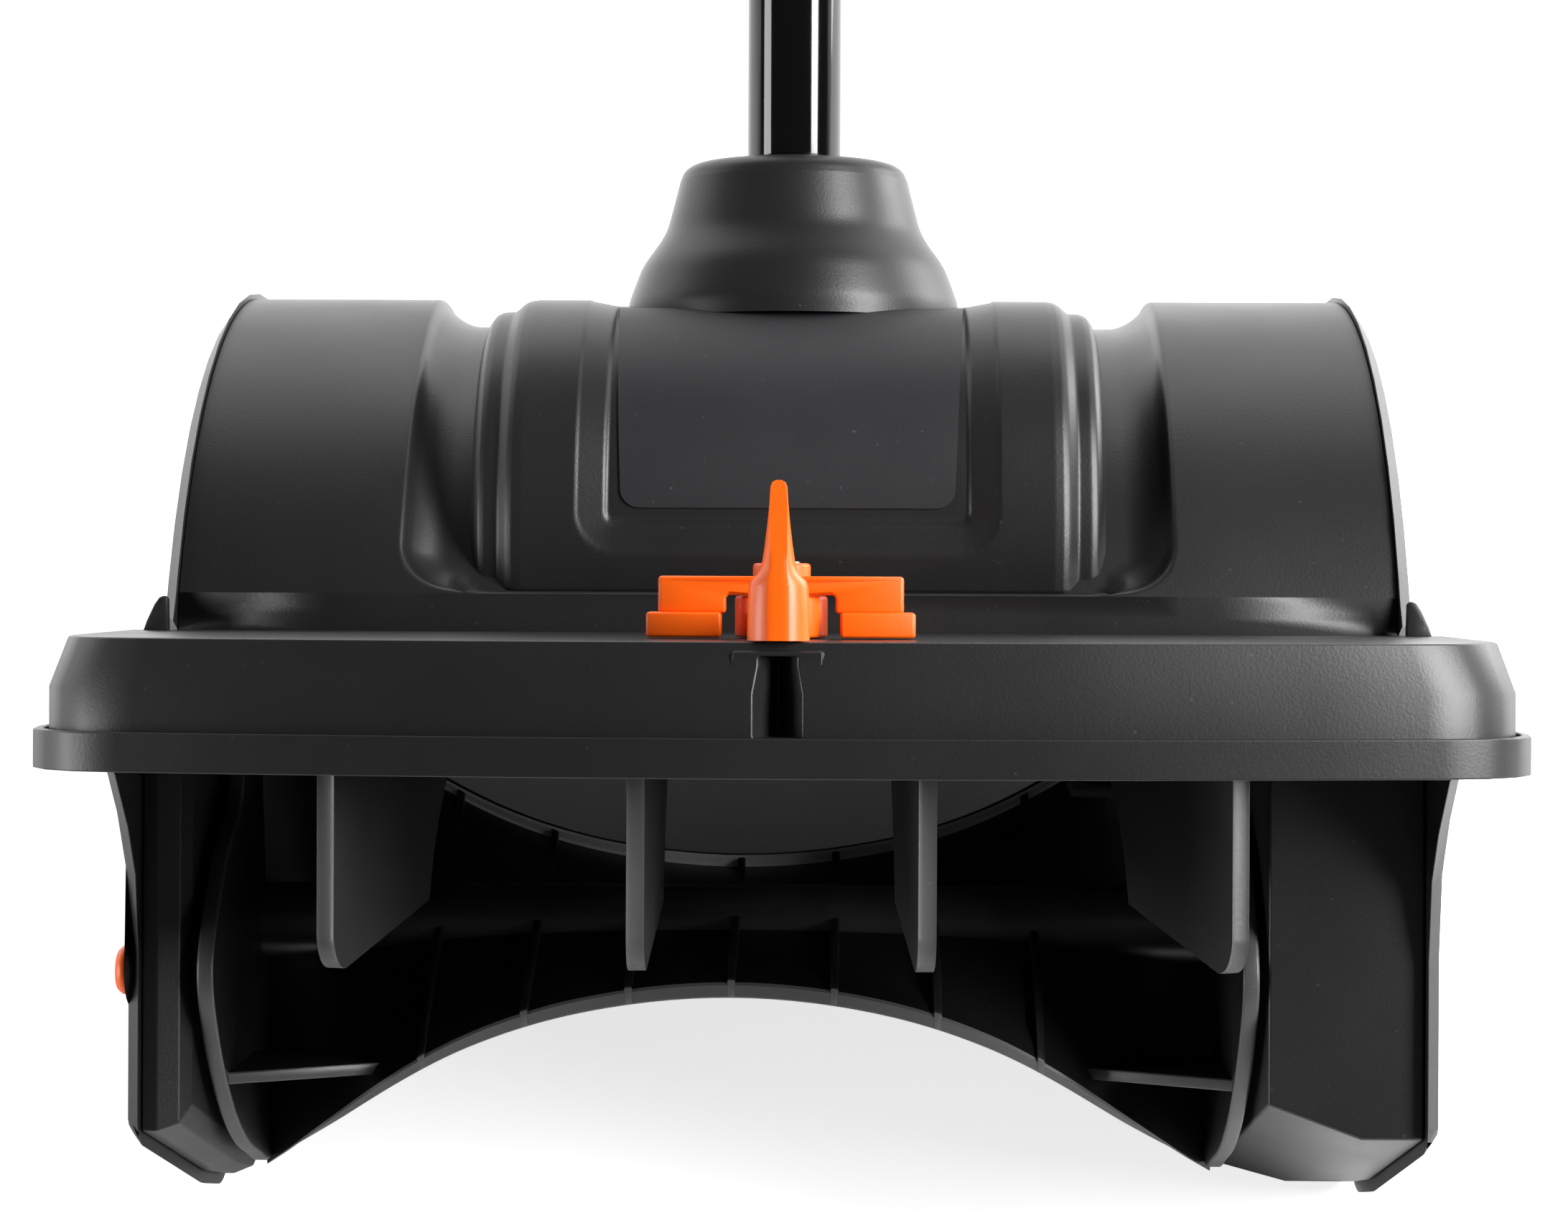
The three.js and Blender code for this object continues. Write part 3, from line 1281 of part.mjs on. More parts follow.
add('handle_right', handleHalfShell(1), shellPlastic);
add('battery_rail', batteryRail(), darkPlastic);
add('trigger', trigger(), orangePlastic);
add('trigger_pin', triggerPin(), steel);
add('lock_button', lockButton(), orangePlastic);
add('switch_block', switchBlock(), darkPlastic);
add('battery_pack', batteryPack(), darkPlastic);
add('battery_latch', batteryLatch(), orangePlastic);
screwPlaces().forEach((place, i) => {
  add(`screw_left_${i + 1}`, sideScrew(-1, place), steel);
  add(`screw_right_${i + 1}`, sideScrew(1, place), steel);
});

// The floor passes under the runners, with the origin on the scraper's ground face.
const stance = new THREE.Group();
machine.rotation.x = -toRad(leanDeg);
machine.position.set(0, -(scraperBack + scraperWidth / 2), axisHeight);
stance.add(machine);

export default stance;
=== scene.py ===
"""Dresses the packed snow shovel: softened mouldings, finishes, floor, lamps and camera."""

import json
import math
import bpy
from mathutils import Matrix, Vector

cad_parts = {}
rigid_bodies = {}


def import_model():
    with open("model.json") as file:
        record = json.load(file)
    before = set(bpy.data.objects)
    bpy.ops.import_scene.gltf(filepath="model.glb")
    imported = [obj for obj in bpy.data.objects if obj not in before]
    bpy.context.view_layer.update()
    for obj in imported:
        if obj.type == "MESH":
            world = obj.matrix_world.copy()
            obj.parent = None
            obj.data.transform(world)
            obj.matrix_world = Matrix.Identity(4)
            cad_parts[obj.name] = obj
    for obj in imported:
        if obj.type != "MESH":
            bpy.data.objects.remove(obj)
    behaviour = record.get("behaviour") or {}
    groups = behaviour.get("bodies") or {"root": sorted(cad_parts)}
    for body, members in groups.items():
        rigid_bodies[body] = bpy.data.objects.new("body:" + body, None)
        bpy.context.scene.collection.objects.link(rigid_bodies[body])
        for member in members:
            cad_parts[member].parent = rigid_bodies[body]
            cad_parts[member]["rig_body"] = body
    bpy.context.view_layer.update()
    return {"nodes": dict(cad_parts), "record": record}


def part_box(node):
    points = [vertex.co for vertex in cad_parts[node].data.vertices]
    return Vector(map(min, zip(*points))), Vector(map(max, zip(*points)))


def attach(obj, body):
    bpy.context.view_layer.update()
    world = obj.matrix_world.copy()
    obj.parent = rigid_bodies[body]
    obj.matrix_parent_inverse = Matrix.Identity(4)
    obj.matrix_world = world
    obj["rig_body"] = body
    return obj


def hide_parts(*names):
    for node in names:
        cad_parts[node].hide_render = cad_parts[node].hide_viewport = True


bl_info = {
    "name": "Snow shovel dressing",
    "version": (1, 0, 0),
    "blender": (4, 5, 0),
    "location": "View3D > Sidebar > Snow shovel",
    "description": "Gives the packed snow shovel its mouldings, finishes, floor and camera",
    "category": "Object",
}

import bpy
from mathutils import Matrix, Vector

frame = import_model()

# The head's own frame: X across, Y away from the mouth, Z along the shaft, rotor axis at the origin
lean = math.radians(-45)
head = Matrix.Translation((0, -0.0735, 0.080)) @ Matrix.Rotation(lean, 4, "X")
shaft_y = 0.060


# Settings

def length_setting(name, description, default):
    return bpy.props.FloatProperty(
        name=name, description=description, default=default, unit="LENGTH")


def colour_setting(name, description, default):
    return bpy.props.FloatVectorProperty(
        name=name, description=description, default=default, subtype="COLOR", size=3, min=0, max=1)


class HeadSettings(bpy.types.PropertyGroup):
    """Sizes on the power head"""

    shell_edge: length_setting("Shell edge", "Rounding of the housing's edges", 0.0011)
    tray_edge: length_setting("Tray edge", "Rounding of the hood tray's edges", 0.0009)
    vane_edge: length_setting("Vane edge", "Rounding of the vanes' edges", 0.0006)
    rotor_edge: length_setting("Rotor edge", "Rounding of the rotor's edges", 0.0005)
    lever_edge: length_setting("Lever edge", "Rounding of the steering lever's edges", 0.0008)
    saddle_drop: length_setting("Saddle drop", "Depth of the channels beside the cover", 0.0075)
    saddle_outer: length_setting("Saddle outer edge", "Half width over both channels", 0.0960)
    saddle_slope: length_setting("Saddle slope", "Width of a channel's rounded side", 0.0118)
    saddle_corner: length_setting("Saddle corner", "Corner radius at a channel's foot", 0.014)
    plate_draft: length_setting("Plate draft", "How far the side plates' rims draw in", 0.0031)
    recess_depth: length_setting("Recess depth", "Depth of the recess around the label", 0.0024)
    recess_slope: length_setting("Recess slope", "Width of the recess's sloping rim", 0.0072)


class HandleSettings(bpy.types.PropertyGroup):
    """Sizes on the shaft and its two handles"""

    tube_radius: length_setting("Tube radius", "Outside radius of both tubes", 0.0127)
    tube_wall: length_setting("Tube wall", "Wall of both tubes", 0.0014)
    handle_edge: length_setting("Handle edge", "Rounding of the handles' edges", 0.0016)


class ColourSettings(bpy.types.PropertyGroup):
    """Colours of the finishes"""

    shell: colour_setting("Shell", "Moulded housing plastic", (0.0095, 0.0095, 0.0099))
    dark: colour_setting("Dark parts", "Rotor, vanes and fittings", (0.006, 0.006, 0.0064))
    accent: colour_setting("Accent", "Lever, trigger, knob and buttons", (0.95, 0.125, 0.0))
    tube: colour_setting("Tube", "Gloss coat of the shaft", (0.0015, 0.0015, 0.0017))
    label: colour_setting("Label", "Bare film on the motor cover", (0.0105, 0.0095, 0.0115))
    # Painted highlight: a pale colour on the blades' lips in place of the light they reflect.
    lip: colour_setting("Worn lip", "Blade lips ground pale by use", (0.5, 0.5, 0.5))
    # Painted sheen: a lighter colour on the rotor's rims and blade edges and on the vanes' fronts,
    # in place of the highlights they catch.
    rubbed: colour_setting("Rubbed edges", "Polished by snow and ground", (0.075, 0.075, 0.077))


# Finishes

def new_group(name, inputs, outputs):
    """A node group; a colour socket has a tuple as its value, and a float socket a number."""
    group = bpy.data.node_groups.new(name, "ShaderNodeTree")
    for sockets, way in ((inputs, "INPUT"), (outputs, "OUTPUT")):
        for label, value in sockets.items():
            kind = "NodeSocketColor" if isinstance(value, tuple) else "NodeSocketFloat"
            socket = group.interface.new_socket(name=label, in_out=way, socket_type=kind)
            if way == "INPUT":
                socket.default_value = value
    return group, group.nodes.new("NodeGroupInput"), group.nodes.new("NodeGroupOutput")


def set_inputs(node, values):
    for label, value in values.items():
        node.inputs[label.replace("_", " ")].default_value = value
    return node


def add_node(tree, kind, operation=None, **values):
    node = tree.nodes.new("ShaderNode" + kind)
    if operation:
        node.operation = operation
    return set_inputs(node, values)


def colour_mix(tree):
    """A mix of two colours; its colour sockets share names with others, so they go by number."""
    node = add_node(tree, "Mix")
    node.data_type = "RGBA"
    return node


mix_first, mix_second, mix_result = 6, 7, 2
dark_grey = (0.03, 0.03, 0.03, 1)


def wire(tree, *links):
    """Joins nodes: each link is a node, its output, the next node and its input."""
    for start, output, end, entry in links:
        tree.links.new(start.outputs[output], end.inputs[entry])


def grain_group():
    """Spark eroded mould texture: a fine height and a slow change of gloss."""
    group, given, out = new_group(
        "moulded_grain", {"Fineness": 1500.0, "Gloss low": 0.4, "Gloss high": 0.55, "Mottle": 22.0},
        {"Height": 0.0, "Roughness": 0.0})
    place = add_node(group, "TexCoord")
    fine = add_node(group, "TexNoise", Detail=3)
    slow = add_node(group, "TexNoise", Detail=4)
    spread = add_node(group, "MapRange", From_Min=0.3, From_Max=0.7)
    wire(group,
         (place, "Object", fine, "Vector"), (place, "Object", slow, "Vector"),
         (given, "Fineness", fine, "Scale"), (given, "Mottle", slow, "Scale"),
         (slow, "Fac", spread, "Value"), (given, "Gloss low", spread, "To Min"),
         (given, "Gloss high", spread, "To Max"), (fine, "Fac", out, "Height"),
         (spread, "Result", out, "Roughness"))
    return group


def wear_and_highlight_group():
    """Lighter colour along outward edges, broken up by noise: partly wear and partly a painted
    highlight in place of the light the edges catch.
    """
    group, given, out = new_group(
        "edge_wear", {"Colour": dark_grey, "Worn colour": (0.12, 0.12, 0.12, 1), "Amount": 0.5,
                      "Breakup": 90.0},
        {"Colour": dark_grey})
    place = add_node(group, "TexCoord")
    shape = add_node(group, "NewGeometry")
    noise = add_node(group, "TexNoise", Detail=5)
    # Convex edges, found by pointiness, get the lighter colour: partly wear and partly a painted
    # highlight.
    edge = add_node(group, "MapRange", From_Min=0.53, From_Max=0.62)
    broken = add_node(group, "Math", "MULTIPLY")
    share = add_node(group, "Math", "MULTIPLY")
    share.use_clamp = True
    mix = colour_mix(group)
    wire(group,
         (place, "Object", noise, "Vector"), (given, "Breakup", noise, "Scale"),
         (shape, "Pointiness", edge, "Value"), (edge, "Result", broken, 0),
         (noise, "Fac", broken, 1), (broken, 0, share, 0), (given, "Amount", share, 1),
         (share, 0, mix, "Factor"), (given, "Colour", mix, mix_first),
         (given, "Worn colour", mix, mix_second), (mix, mix_result, out, "Colour"))
    return group


def dust_group():
    """A few pale specks and a slow change of tone."""
    group, given, out = new_group(
        "dust_specks", {"Colour": dark_grey, "Speck colour": (0.2, 0.2, 0.2, 1), "Speck share": 0.4,
                        "Tone": 0.12},
        {"Colour": dark_grey})
    place = add_node(group, "TexCoord")
    specks = add_node(group, "TexNoise", Scale=640, Detail=1)
    peaks = add_node(group, "MapRange", From_Min=0.765, From_Max=0.82)
    share = add_node(group, "Math", "MULTIPLY")
    tone = add_node(group, "TexNoise", Scale=14, Detail=3)
    swing = add_node(group, "MapRange", From_Min=0.35, From_Max=0.65, To_Min=1.0)
    darker = add_node(group, "Math", "SUBTRACT")
    darker.inputs[0].default_value = 1.0
    scale = add_node(group, "VectorMath", "SCALE")
    mix = colour_mix(group)
    wire(group,
         (place, "Object", specks, "Vector"), (place, "Object", tone, "Vector"),
         (specks, "Fac", peaks, "Value"), (peaks, "Result", share, 0),
         (given, "Speck share", share, 1), (tone, "Fac", swing, "Value"),
         (given, "Tone", darker, 1), (darker, 0, swing, "To Max"),
         (given, "Colour", scale, 0), (swing, "Result", scale, "Scale"),
         (share, 0, mix, "Factor"), (scale, 0, mix, mix_first),
         (given, "Speck colour", mix, mix_second), (mix, mix_result, out, "Colour"))
    return group


effects = {}
finishes = {}


def effect(tree, name, **values):
    node = tree.nodes.new("ShaderNodeGroup")
    node.node_tree = effects[name]
    return set_inputs(node, values)


def lighter(colour, gain, lift=0.0):
    return tuple(min(1.0, c * gain + lift) for c in colour) + (1.0,)


def base_material(name):
    material = bpy.data.materials.new(name)
    material.use_nodes = True
    return material, material.node_tree, material.node_tree.nodes["Principled BSDF"]


def moulded(name, colour, gloss, fineness, depth, wear=0.5, wear_and_highlight_gain=3.0, specks=0.3,
            tone=0.12):
    """Plastic, rubber or paint: tone and specks, edges lightened partly as wear and partly as a
    painted highlight, and a grain that feeds the normal.
    """
    material, tree, shader = base_material(name)
    dust = effect(tree, "dust_specks", Colour=tuple(colour) + (1.0,),
                  Speck_colour=lighter(colour, 4.0, 0.05), Speck_share=specks, Tone=tone)
    wear_and_highlight_node = effect(tree, "edge_wear", Worn_colour=lighter(colour, wear_and_highlight_gain, 0.02), Amount=wear)
    grain = effect(tree, "moulded_grain", Fineness=fineness, Gloss_low=gloss[0],
                   Gloss_high=gloss[1])
    bump = add_node(tree, "Bump", Distance=depth)
    wire(tree,
         (dust, "Colour", wear_and_highlight_node, "Colour"), (wear_and_highlight_node, "Colour", shader, "Base Color"),
         (grain, "Roughness", shader, "Roughness"), (grain, "Height", bump, "Height"),
         (bump, "Normal", shader, "Normal"))
    return material


def turned_steel(name, colour, roughness):
    """Machined metal: rings of fine scratches on a bright base."""
    material, tree, shader = base_material(name)
    place = add_node(tree, "TexCoord")
    stretch = add_node(tree, "Mapping", Scale=(2600, 240, 240))
    scratch = add_node(tree, "TexNoise", Scale=1, Detail=4)
    spread = add_node(tree, "MapRange", To_Min=roughness - 0.08, To_Max=roughness + 0.1)
    # Edges lighter: partly wear and partly a painted highlight.
    wear_and_highlight_node = effect(tree, "edge_wear", Colour=tuple(colour) + (1.0,),
                  Worn_colour=lighter(colour, 1.5), Amount=0.6)
    bump = add_node(tree, "Bump", Distance=0.00003)
    wire(tree,
         (place, "Object", stretch, "Vector"), (stretch, "Vector", scratch, "Vector"),
         (scratch, "Fac", spread, "Value"), (scratch, "Fac", bump, "Height"),
         (spread, "Result", shader, "Roughness"), (bump, "Normal", shader, "Normal"),
         (wear_and_highlight_node, "Colour", shader, "Base Color"))
    shader.inputs["Metallic"].default_value = 1.0
    return material


# Modelling helpers

def clear_selection():
    if bpy.context.view_layer.objects.active and bpy.context.object.mode != "OBJECT":
        bpy.ops.object.mode_set(mode="OBJECT")
    bpy.ops.object.select_all(action="DESELECT")


def pick(obj):
    clear_selection()
    obj.select_set(True)
    bpy.context.view_layer.objects.active = obj
    return obj


def edit(obj, face_test=None, edge_test=None):
    """Opens edit mode with the faces or edges that pass a test selected, or with everything."""
    pick(obj)
    bpy.ops.object.mode_set(mode="EDIT")
    if face_test is None and edge_test is None:
        bpy.ops.mesh.select_all(action="SELECT")
        return
    bpy.ops.mesh.select_mode(type="FACE" if face_test else "EDGE")
    bpy.ops.mesh.select_all(action="DESELECT")
    bpy.ops.object.mode_set(mode="OBJECT")
    mesh = obj.data
    if face_test:
        for face in mesh.polygons:
            face.select = face_test(face.center, face.normal)
    else:
        for line in mesh.edges:
            a, b = (mesh.vertices[i].co for i in line.vertices)
            line.select = edge_test((a + b) / 2, b - a)
    bpy.ops.object.mode_set(mode="EDIT")


def leave_edit():
    bpy.ops.object.mode_set(mode="OBJECT")


def turn_outwards(obj):
    edit(obj)
    bpy.ops.mesh.normals_make_consistent(inside=False)
    leave_edit()
    return obj


def bake_place(obj):
    pick(obj)
    bpy.ops.object.transform_apply(location=True, rotation=True, scale=True)
    return obj


def to_head_frame(obj):
    """Moves a CAD copy into the head's frame, in its mesh."""
    obj.matrix_world = head.inverted()
    return bake_place(obj)


def seat(obj, where=head):
    """Moves a piece drawn in the head's frame to its place on the machine, in its mesh."""
    bake_place(obj)
    obj.matrix_world = where
    return bake_place(obj)


def apply_modifier(obj, name, kind, **values):
    pick(obj)
    modifier = obj.modifiers.new(name, kind)
    for setting, value in values.items():
        setattr(modifier, setting, value)
    bpy.ops.object.modifier_apply(modifier=modifier.name)
    return obj


def soften(obj, width, segments=2, angle=32):
    """Rounds the edges that are sharper than an angle."""
    return apply_modifier(obj, "soft_edges", "BEVEL", width=width, segments=segments,
                          limit_method="ANGLE", angle_limit=math.radians(angle),
                          miter_outer="MITER_ARC", use_clamp_overlap=True)


def thicken(obj, thickness):
    """Gives a sheet a wall on its inner side."""
    return apply_modifier(obj, "wall", "SOLIDIFY", thickness=thickness, offset=-1)


def smooth(obj, angle=34):
    pick(obj)
    bpy.ops.object.shade_smooth_by_angle(angle=math.radians(angle))
    return obj


def level_normals(obj):
    """Keeps broad faces flat and lets only the softened edges turn."""
    return apply_modifier(obj, "level_normals", "WEIGHTED_NORMAL", keep_sharp=True, weight=60)


def body_of(node):
    return frame["nodes"][node]["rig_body"]


def slot_of(node):
    return next(part["material_slot"] for part in frame["record"]["subparts"]
                if part["node"] == node)


def finish(obj, node, material, nodes=None):
    """Gives a piece its finish and the body of the CAD node that it belongs to, and hides the CAD
    nodes that it stands in for.
    """
    body, slot = body_of(node), slot_of(node)
    nodes = [node] if nodes is None else nodes
    obj.data.materials.clear()
    obj.data.materials.append(finishes[material])
    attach(obj, body)
    if nodes:
        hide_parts(*nodes)
    return obj


def cad_copy(node, name, join_flats=True):
    """A merged copy of a CAD node's mesh, as a new object."""
    source = frame["nodes"][node]
    obj = bpy.data.objects.new(name, source.data.copy())
    bpy.context.scene.collection.objects.link(obj)
    edit(obj)
    bpy.ops.mesh.remove_doubles(threshold=0.00002)
    if join_flats:
        bpy.ops.mesh.dissolve_limited(angle_limit=math.radians(1.0))
    leave_edit()
    return obj


def moulding(node, material, edge, segments=2, angle=32, smooth_angle=34):
    """A softened copy of a CAD node: merged, its flat faces joined, its edges rounded."""
    obj = cad_copy(node, node + "_moulding")
    soften(obj, edge, segments, angle)
    smooth(obj, smooth_angle)
    level_normals(obj)
    return finish(obj, node, material)


def start_piece(name, add, **values):
    """Adds a primitive to shape, with nothing else selected."""
    clear_selection()
    add(**values)
    obj = bpy.context.object
    obj.name = name
    return obj


def block(name, low, high):
    """A box between two corners, in metres, in the head's frame."""
    low, high = Vector(low), Vector(high)
    return bake_place(start_piece(name, bpy.ops.mesh.primitive_cube_add, size=1,
                                  location=(low + high) / 2, scale=high - low))


def rod(name, radius, start, end, sides=48, open_ends=False):
    """A round bar between two points, in the head's frame."""
    start, end = Vector(start), Vector(end)
    turn = Vector((0, 0, 1)).rotation_difference(end - start)
    return bake_place(start_piece(
        name, bpy.ops.mesh.primitive_cylinder_add, vertices=sides, radius=radius,
        depth=(end - start).length, location=(start + end) / 2, rotation=turn.to_euler(),
        end_fill_type="NOTHING" if open_ends else "NGON"))


def mapped_grid(name, across, along, place):
    """A grid whose corners sit where a function puts each pair of stations."""
    columns, rows = len(across) - 1, len(along) - 1
    obj = start_piece(name, bpy.ops.mesh.primitive_grid_add, x_subdivisions=columns,
                      y_subdivisions=rows, size=2)
    for vertex in obj.data.vertices:
        column = round((vertex.co.x + 1) / 2 * columns)
        row = round((vertex.co.y + 1) / 2 * rows)
        vertex.co = place(across[column], along[row])
    return obj


def prism(name, outline, way):
    """A plate between an outline of points and its copy moved along a way."""
    obj = start_piece(name, bpy.ops.mesh.primitive_circle_add, vertices=len(outline),
                      fill_type="NGON")
    for vertex, place in zip(obj.data.vertices, outline):
        vertex.co = place
    edit(obj)
    bpy.ops.mesh.extrude_region_move(TRANSFORM_OT_translate={"value": way})
    return turn_outwards(obj)


def close_seam(obj):
    edit(obj)
    bpy.ops.mesh.remove_doubles(threshold=0.00002)
    bpy.ops.mesh.normals_make_consistent(inside=False)
    leave_edit()
    return obj


def stations(*spans):
    """Places from the first span's start on: each span is an end and a largest step."""
    places = [spans[0]]
    for end, step in spans[1:]:
        count = max(1, math.ceil(abs(end - places[-1]) / step - 0.001))
        start = places[-1]
        places += [start + (end - start) * number / count for number in range(1, count + 1)]
    return places


def mirrored(places):
    return [-place for place in reversed(places) if place > 0] + places


def join_pieces(name, pieces):
    clear_selection()
    for piece in pieces:
        piece.select_set(True)
    bpy.context.view_layer.objects.active = pieces[0]
    if len(pieces) > 1:
        bpy.ops.object.join()
    pieces[0].name = name
    return pieces[0]


# Power head

shell_radius = 0.130
shell_axis = Vector((0, 0.090, 0.034))
shell_foot = math.asin(0.0492 / shell_radius)
shell_half = 0.1489
scoop_radius = 0.0789
barrel_radius = 0.060
barrel_axis = Vector((0, 0.035, 0.100))


def unit(value):
    return min(1.0, max(0.0, value))


def ramp(value, low, high):
    share = unit((value - low) / (high - low))
    return share * share * (3 - 2 * share)


def inside_corner(side, foot, corner):
    """Distance inside an edge at the side and one at the foot that meet in a rounded corner."""
    if side < corner and foot < corner:
        return corner - math.hypot(corner - side, corner - foot)
    return min(side, foot)


def on_arc(x, axis, radius, turn):
    """A point around an axis along X; the turn starts at the front and rises over the top."""
    return Vector((x, axis.y - radius * math.cos(turn), axis.z + radius * math.sin(turn)))


class Step:
    """A step of the dressing, which each operator fills in"""

    def execute(self, context):
        self.build(context.scene)
        return {"FINISHED"}


class SNOWSHOVEL_OT_housing(Step, bpy.types.Operator):
    """Gives the housing a fine skin with channels beside the cover, and a fine scoop wall"""

    bl_idname = "snowshovel.housing"
    bl_label = "Housing"

    skin_foot = 0.0834
    skin_across = ((0.070, 0.010), (0.084, 0.002), (0.0945, 0.001), (0.100, 0.0004),
                   (0.104, 0.001), (shell_half, 0.006))
    skin_around = ((0.006, 0.0005), (0.022, 0.0009), (0.060, 0.002),
                   (shell_radius * 2.0204, 0.003))
    scoop_start = 29.8
    scoop_end = 113.2
    facing = 0.35
    inner_slope = 0.0015
    inner_sides = (0.0770, 0.0830)
    rear_spread = 0.0027
    rear_reach = 0.19
    cove_share = (-0.02, 0.24)

    def build(self, scene):
        sizes = scene.snowshovel_head
        body = to_head_frame(cad_copy("scoop_shell", "housing_shell", False))
        edit(body, self.in_skin)
        bpy.ops.mesh.delete(type="FACE")
        leave_edit()
        skin = mapped_grid("housing_skin", mirrored(stations(0, *self.skin_across)),
                           stations(0, *self.skin_around),
                           lambda x, along: self.carve(x, along, sizes))
        turns = stations(self.scoop_start, (self.scoop_end, 2.0))
        wall = mapped_grid(
            "scoop_wall", stations(-shell_half, (shell_half, 0.02)), list(map(math.radians, turns)),
            lambda x, turn: (x, scoop_radius * math.cos(turn), scoop_radius * math.sin(turn)))
        edit(wall)
        bpy.ops.mesh.flip_normals()
        leave_edit()
        smooth(body, 24)
        for piece in (skin, wall):
            smooth(piece, 50)
        obj = join_pieces("housing_shell", [body, skin, wall])
        seat(obj)
        finish(obj, "scoop_shell", "shell")

    def in_skin(self, place, normal):
        """The CAD's faceted outer arc and scoop arc, which the two grids stand in for."""
        arm = Vector((0, place.y - shell_axis.y, place.z - shell_axis.z))
        reach = Vector((0, place.y, place.z))
        outer = (0.1165 < arm.length < shell_radius + 0.0004 and abs(place.x) < shell_half
                 and place.z > self.skin_foot and normal.dot(arm.normalized()) > self.facing)
        inner = (0.0775 < reach.length < scoop_radius + 0.0007
                 and normal.dot(reach.normalized()) < -0.75)
        return outer or inner

    def carve(self, x, along, sizes):
        """A point of the skin, sunk where it lies in a channel."""
        edge = sizes.saddle_outer + self.rear_spread * ramp(along, 0, self.rear_reach)
        slope = self.inner_slope + ((sizes.saddle_slope - self.inner_slope)
                                    * ramp(abs(x), *self.inner_sides))
        depth = inside_corner(edge - abs(x), along - 0.0004, sizes.saddle_corner)
        if depth < along - 0.0005 or slope > sizes.saddle_slope - 0.0001:
            slope = sizes.saddle_slope
        share = unit(depth / slope)
        cove = (1 - (1 - share) ** 2) * ramp(share, *self.cove_share)
        return on_arc(x, shell_axis, shell_radius - sizes.saddle_drop * cove,
                      shell_foot + along / shell_radius)


class SNOWSHOVEL_OT_sides(Step, bpy.types.Operator):
    """Softens the side plates, pods, gearcase, scraper and plug"""

    bl_idname = "snowshovel.sides"
    bl_label = "Sides"

    plate_face = 0.1522
    rim_width = 0.0046
    corner_top = -0.02

    def build(self, scene):
        sizes = scene.snowshovel_head
        edge = sizes.shell_edge
        for node, side in (("left_side_plate", -1), ("right_side_plate", 1)):
            self.plate(node, side, sizes)
        moulding("left_bearing_pod", "shell", edge * 3.4, 5, 18, 66)
        moulding("gearcase", "shell", edge * 2.6, 5, 26, 34)
        moulding("scraper_bar", "dark", edge * 0.6, 2)
        moulding("side_plug", "accent", edge * 0.4, 2, 30, 40)

    def plate(self, node, side, sizes):
        """Draws the outer face's rim in, then rounds the plate's lower corners and all edges."""
        edge = sizes.shell_edge
        plate = cad_copy(node, node + "_moulding")
        edit(plate, lambda place, normal:
             side * normal.x > 0.99 and abs(place.x) > self.plate_face)
        bpy.ops.transform.translate(value=(-side * sizes.plate_draft, 0, 0))
        bpy.ops.mesh.inset(thickness=self.rim_width)
        bpy.ops.transform.translate(value=(side * sizes.plate_draft, 0, 0))
        leave_edit()
        edit(plate, None, lambda place, way:
             abs(way.x) > 0.99 * way.length and (head.inverted() @ place).z < self.corner_top)
        bpy.ops.mesh.bevel(offset=edge * 3, segments=4, profile=0.5)
        leave_edit()
        soften(plate, edge * 0.4, 2, 20)
        smooth(plate, 40)
        level_normals(plate)
        finish(plate, node, "shell")


